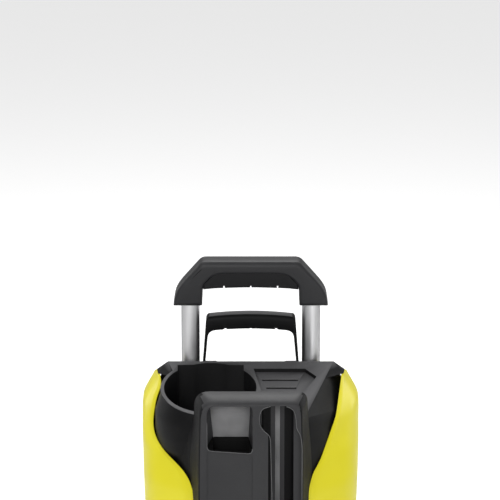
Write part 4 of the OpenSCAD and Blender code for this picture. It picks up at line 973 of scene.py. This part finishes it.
# %% Build the tread tree
def tread_tree():
    tree = bpy.data.node_groups.new("tyre_tread", "GeometryNodeTree")
    tree.is_modifier = True
    tree.interface.new_socket("Geometry", in_out="INPUT", socket_type="NodeSocketGeometry")
    for label, kind, value in (("Radius", "NodeSocketFloat", 0.086), ("Count", "NodeSocketInt", 44),
                               ("Lug Length", "NodeSocketFloat", 0.013), ("Lug Width", "NodeSocketFloat", 0.006),
                               ("Lug Height", "NodeSocketFloat", 0.003), ("Offset", "NodeSocketFloat", 0.009),
                               ("Material", "NodeSocketMaterial", None)):
        socket = tree.interface.new_socket(label, in_out="INPUT", socket_type=kind)
        if value is not None:
            socket.default_value = value
    tree.interface.new_socket("Geometry", in_out="OUTPUT", socket_type="NodeSocketGeometry")
    given, out = tree.nodes.new("NodeGroupInput"), tree.nodes.new("NodeGroupOutput")
    circle = node(tree, "GeometryNodeMeshCircle")
    tree.links.new(given.outputs["Count"], circle.inputs["Vertices"])
    tree.links.new(given.outputs["Radius"], circle.inputs["Radius"])
    size = node(tree, "ShaderNodeCombineXYZ")
    tree.links.new(given.outputs["Lug Height"], size.inputs["X"])
    tree.links.new(given.outputs["Lug Width"], size.inputs["Y"])
    tree.links.new(given.outputs["Lug Length"], size.inputs["Z"])
    lug = node(tree, "GeometryNodeMeshCube")
    tree.links.new(size.outputs[0], lug.inputs["Size"])
    both = node(tree, "GeometryNodeJoinGeometry")
    for side in (-1, 1):
        index = node(tree, "GeometryNodeInputIndex")
        count = node(tree, "ShaderNodeMath", operation="DIVIDE")
        tree.links.new(index.outputs[0], count.inputs[0])
        tree.links.new(given.outputs["Count"], count.inputs[1])
        angle = node(tree, "ShaderNodeMath", operation="MULTIPLY")
        tree.links.new(count.outputs[0], angle.inputs[0])
        angle.inputs[1].default_value = 2 * math.pi
        turn = node(tree, "ShaderNodeCombineXYZ")
        turn.inputs["X"].default_value = side * 0.45
        tree.links.new(angle.outputs[0], turn.inputs["Z"])
        placed = node(tree, "GeometryNodeInstanceOnPoints")
        tree.links.new(circle.outputs[0], placed.inputs["Points"])
        tree.links.new(lug.outputs[0], placed.inputs["Instance"])
        tree.links.new(turn.outputs[0], placed.inputs["Rotation"])
        scaled = node(tree, "ShaderNodeMath", operation="MULTIPLY")
        tree.links.new(given.outputs["Offset"], scaled.inputs[0])
        scaled.inputs[1].default_value = side
        shift = node(tree, "ShaderNodeCombineXYZ")
        tree.links.new(scaled.outputs[0], shift.inputs["Z"])
        moved = node(tree, "GeometryNodeTransform")
        tree.links.new(placed.outputs[0], moved.inputs["Geometry"])
        tree.links.new(shift.outputs[0], moved.inputs["Translation"])
        tree.links.new(moved.outputs[0], both.inputs[0])
    real = node(tree, "GeometryNodeRealizeInstances")
    tree.links.new(both.outputs[0], real.inputs[0])
    finish = node(tree, "GeometryNodeSetMaterial")
    tree.links.new(real.outputs[0], finish.inputs["Geometry"])
    tree.links.new(given.outputs["Material"], finish.inputs["Material"])
    tree.links.new(finish.outputs[0], out.inputs[0])
    return tree


def run_nodes(name, tree, values, finish):
    """Runs a node tree once with the named values and keeps the plain mesh."""
    piece = new_piece(name, bpy.data.meshes.new(name), finish)
    modifier = piece.modifiers.new("nodes", "NODES")
    modifier.node_group = tree
    for item in tree.interface.items_tree:
        if item.in_out == "INPUT" and item.name in values:
            modifier[item.identifier] = values[item.name]
    apply_modifiers(piece)
    return piece


WHEEL_X = 0.132
tread = tread_tree()
tread_values = {"Material": materials["tyre_rubber"], "Radius": 0.0865}
for side, label in ((-1, "left"), (1, "right")):
    made = run_nodes("tread_" + label, tread, tread_values, "tyre_rubber")
    hub = Matrix.Translation((side * WHEEL_X, AXLE_Y * MM, AXLE_Z * MM))
    made.data.transform(hub @ Matrix.Rotation(math.pi / 2, 4, "Y"))
    shade(made.data)
    place_piece(made, label + "_wheel")
    print(made.name, len(made.data.polygons), "faces")

# %% [markdown]
# ## Edges of the wheels and the feet
# The tyres, the wheels, their caps, the feet and the cable's gland keep the shapes they came with. They
# only need edges that catch the light, wide on soft rubber and narrow on the small gland.

# %% Soften the last edges
for name, width in (("tyre_left", 1.2), ("tyre_right", 1.2), ("wheel_left", 0.7), ("wheel_right", 0.7),
                    ("hub_cap_left", 0.8), ("hub_cap_right", 0.8), ("front_feet", 0.8), ("cable_gland", 0.5)):
    soft_edges(name, width)
    print(name, "edges", width, "mm")
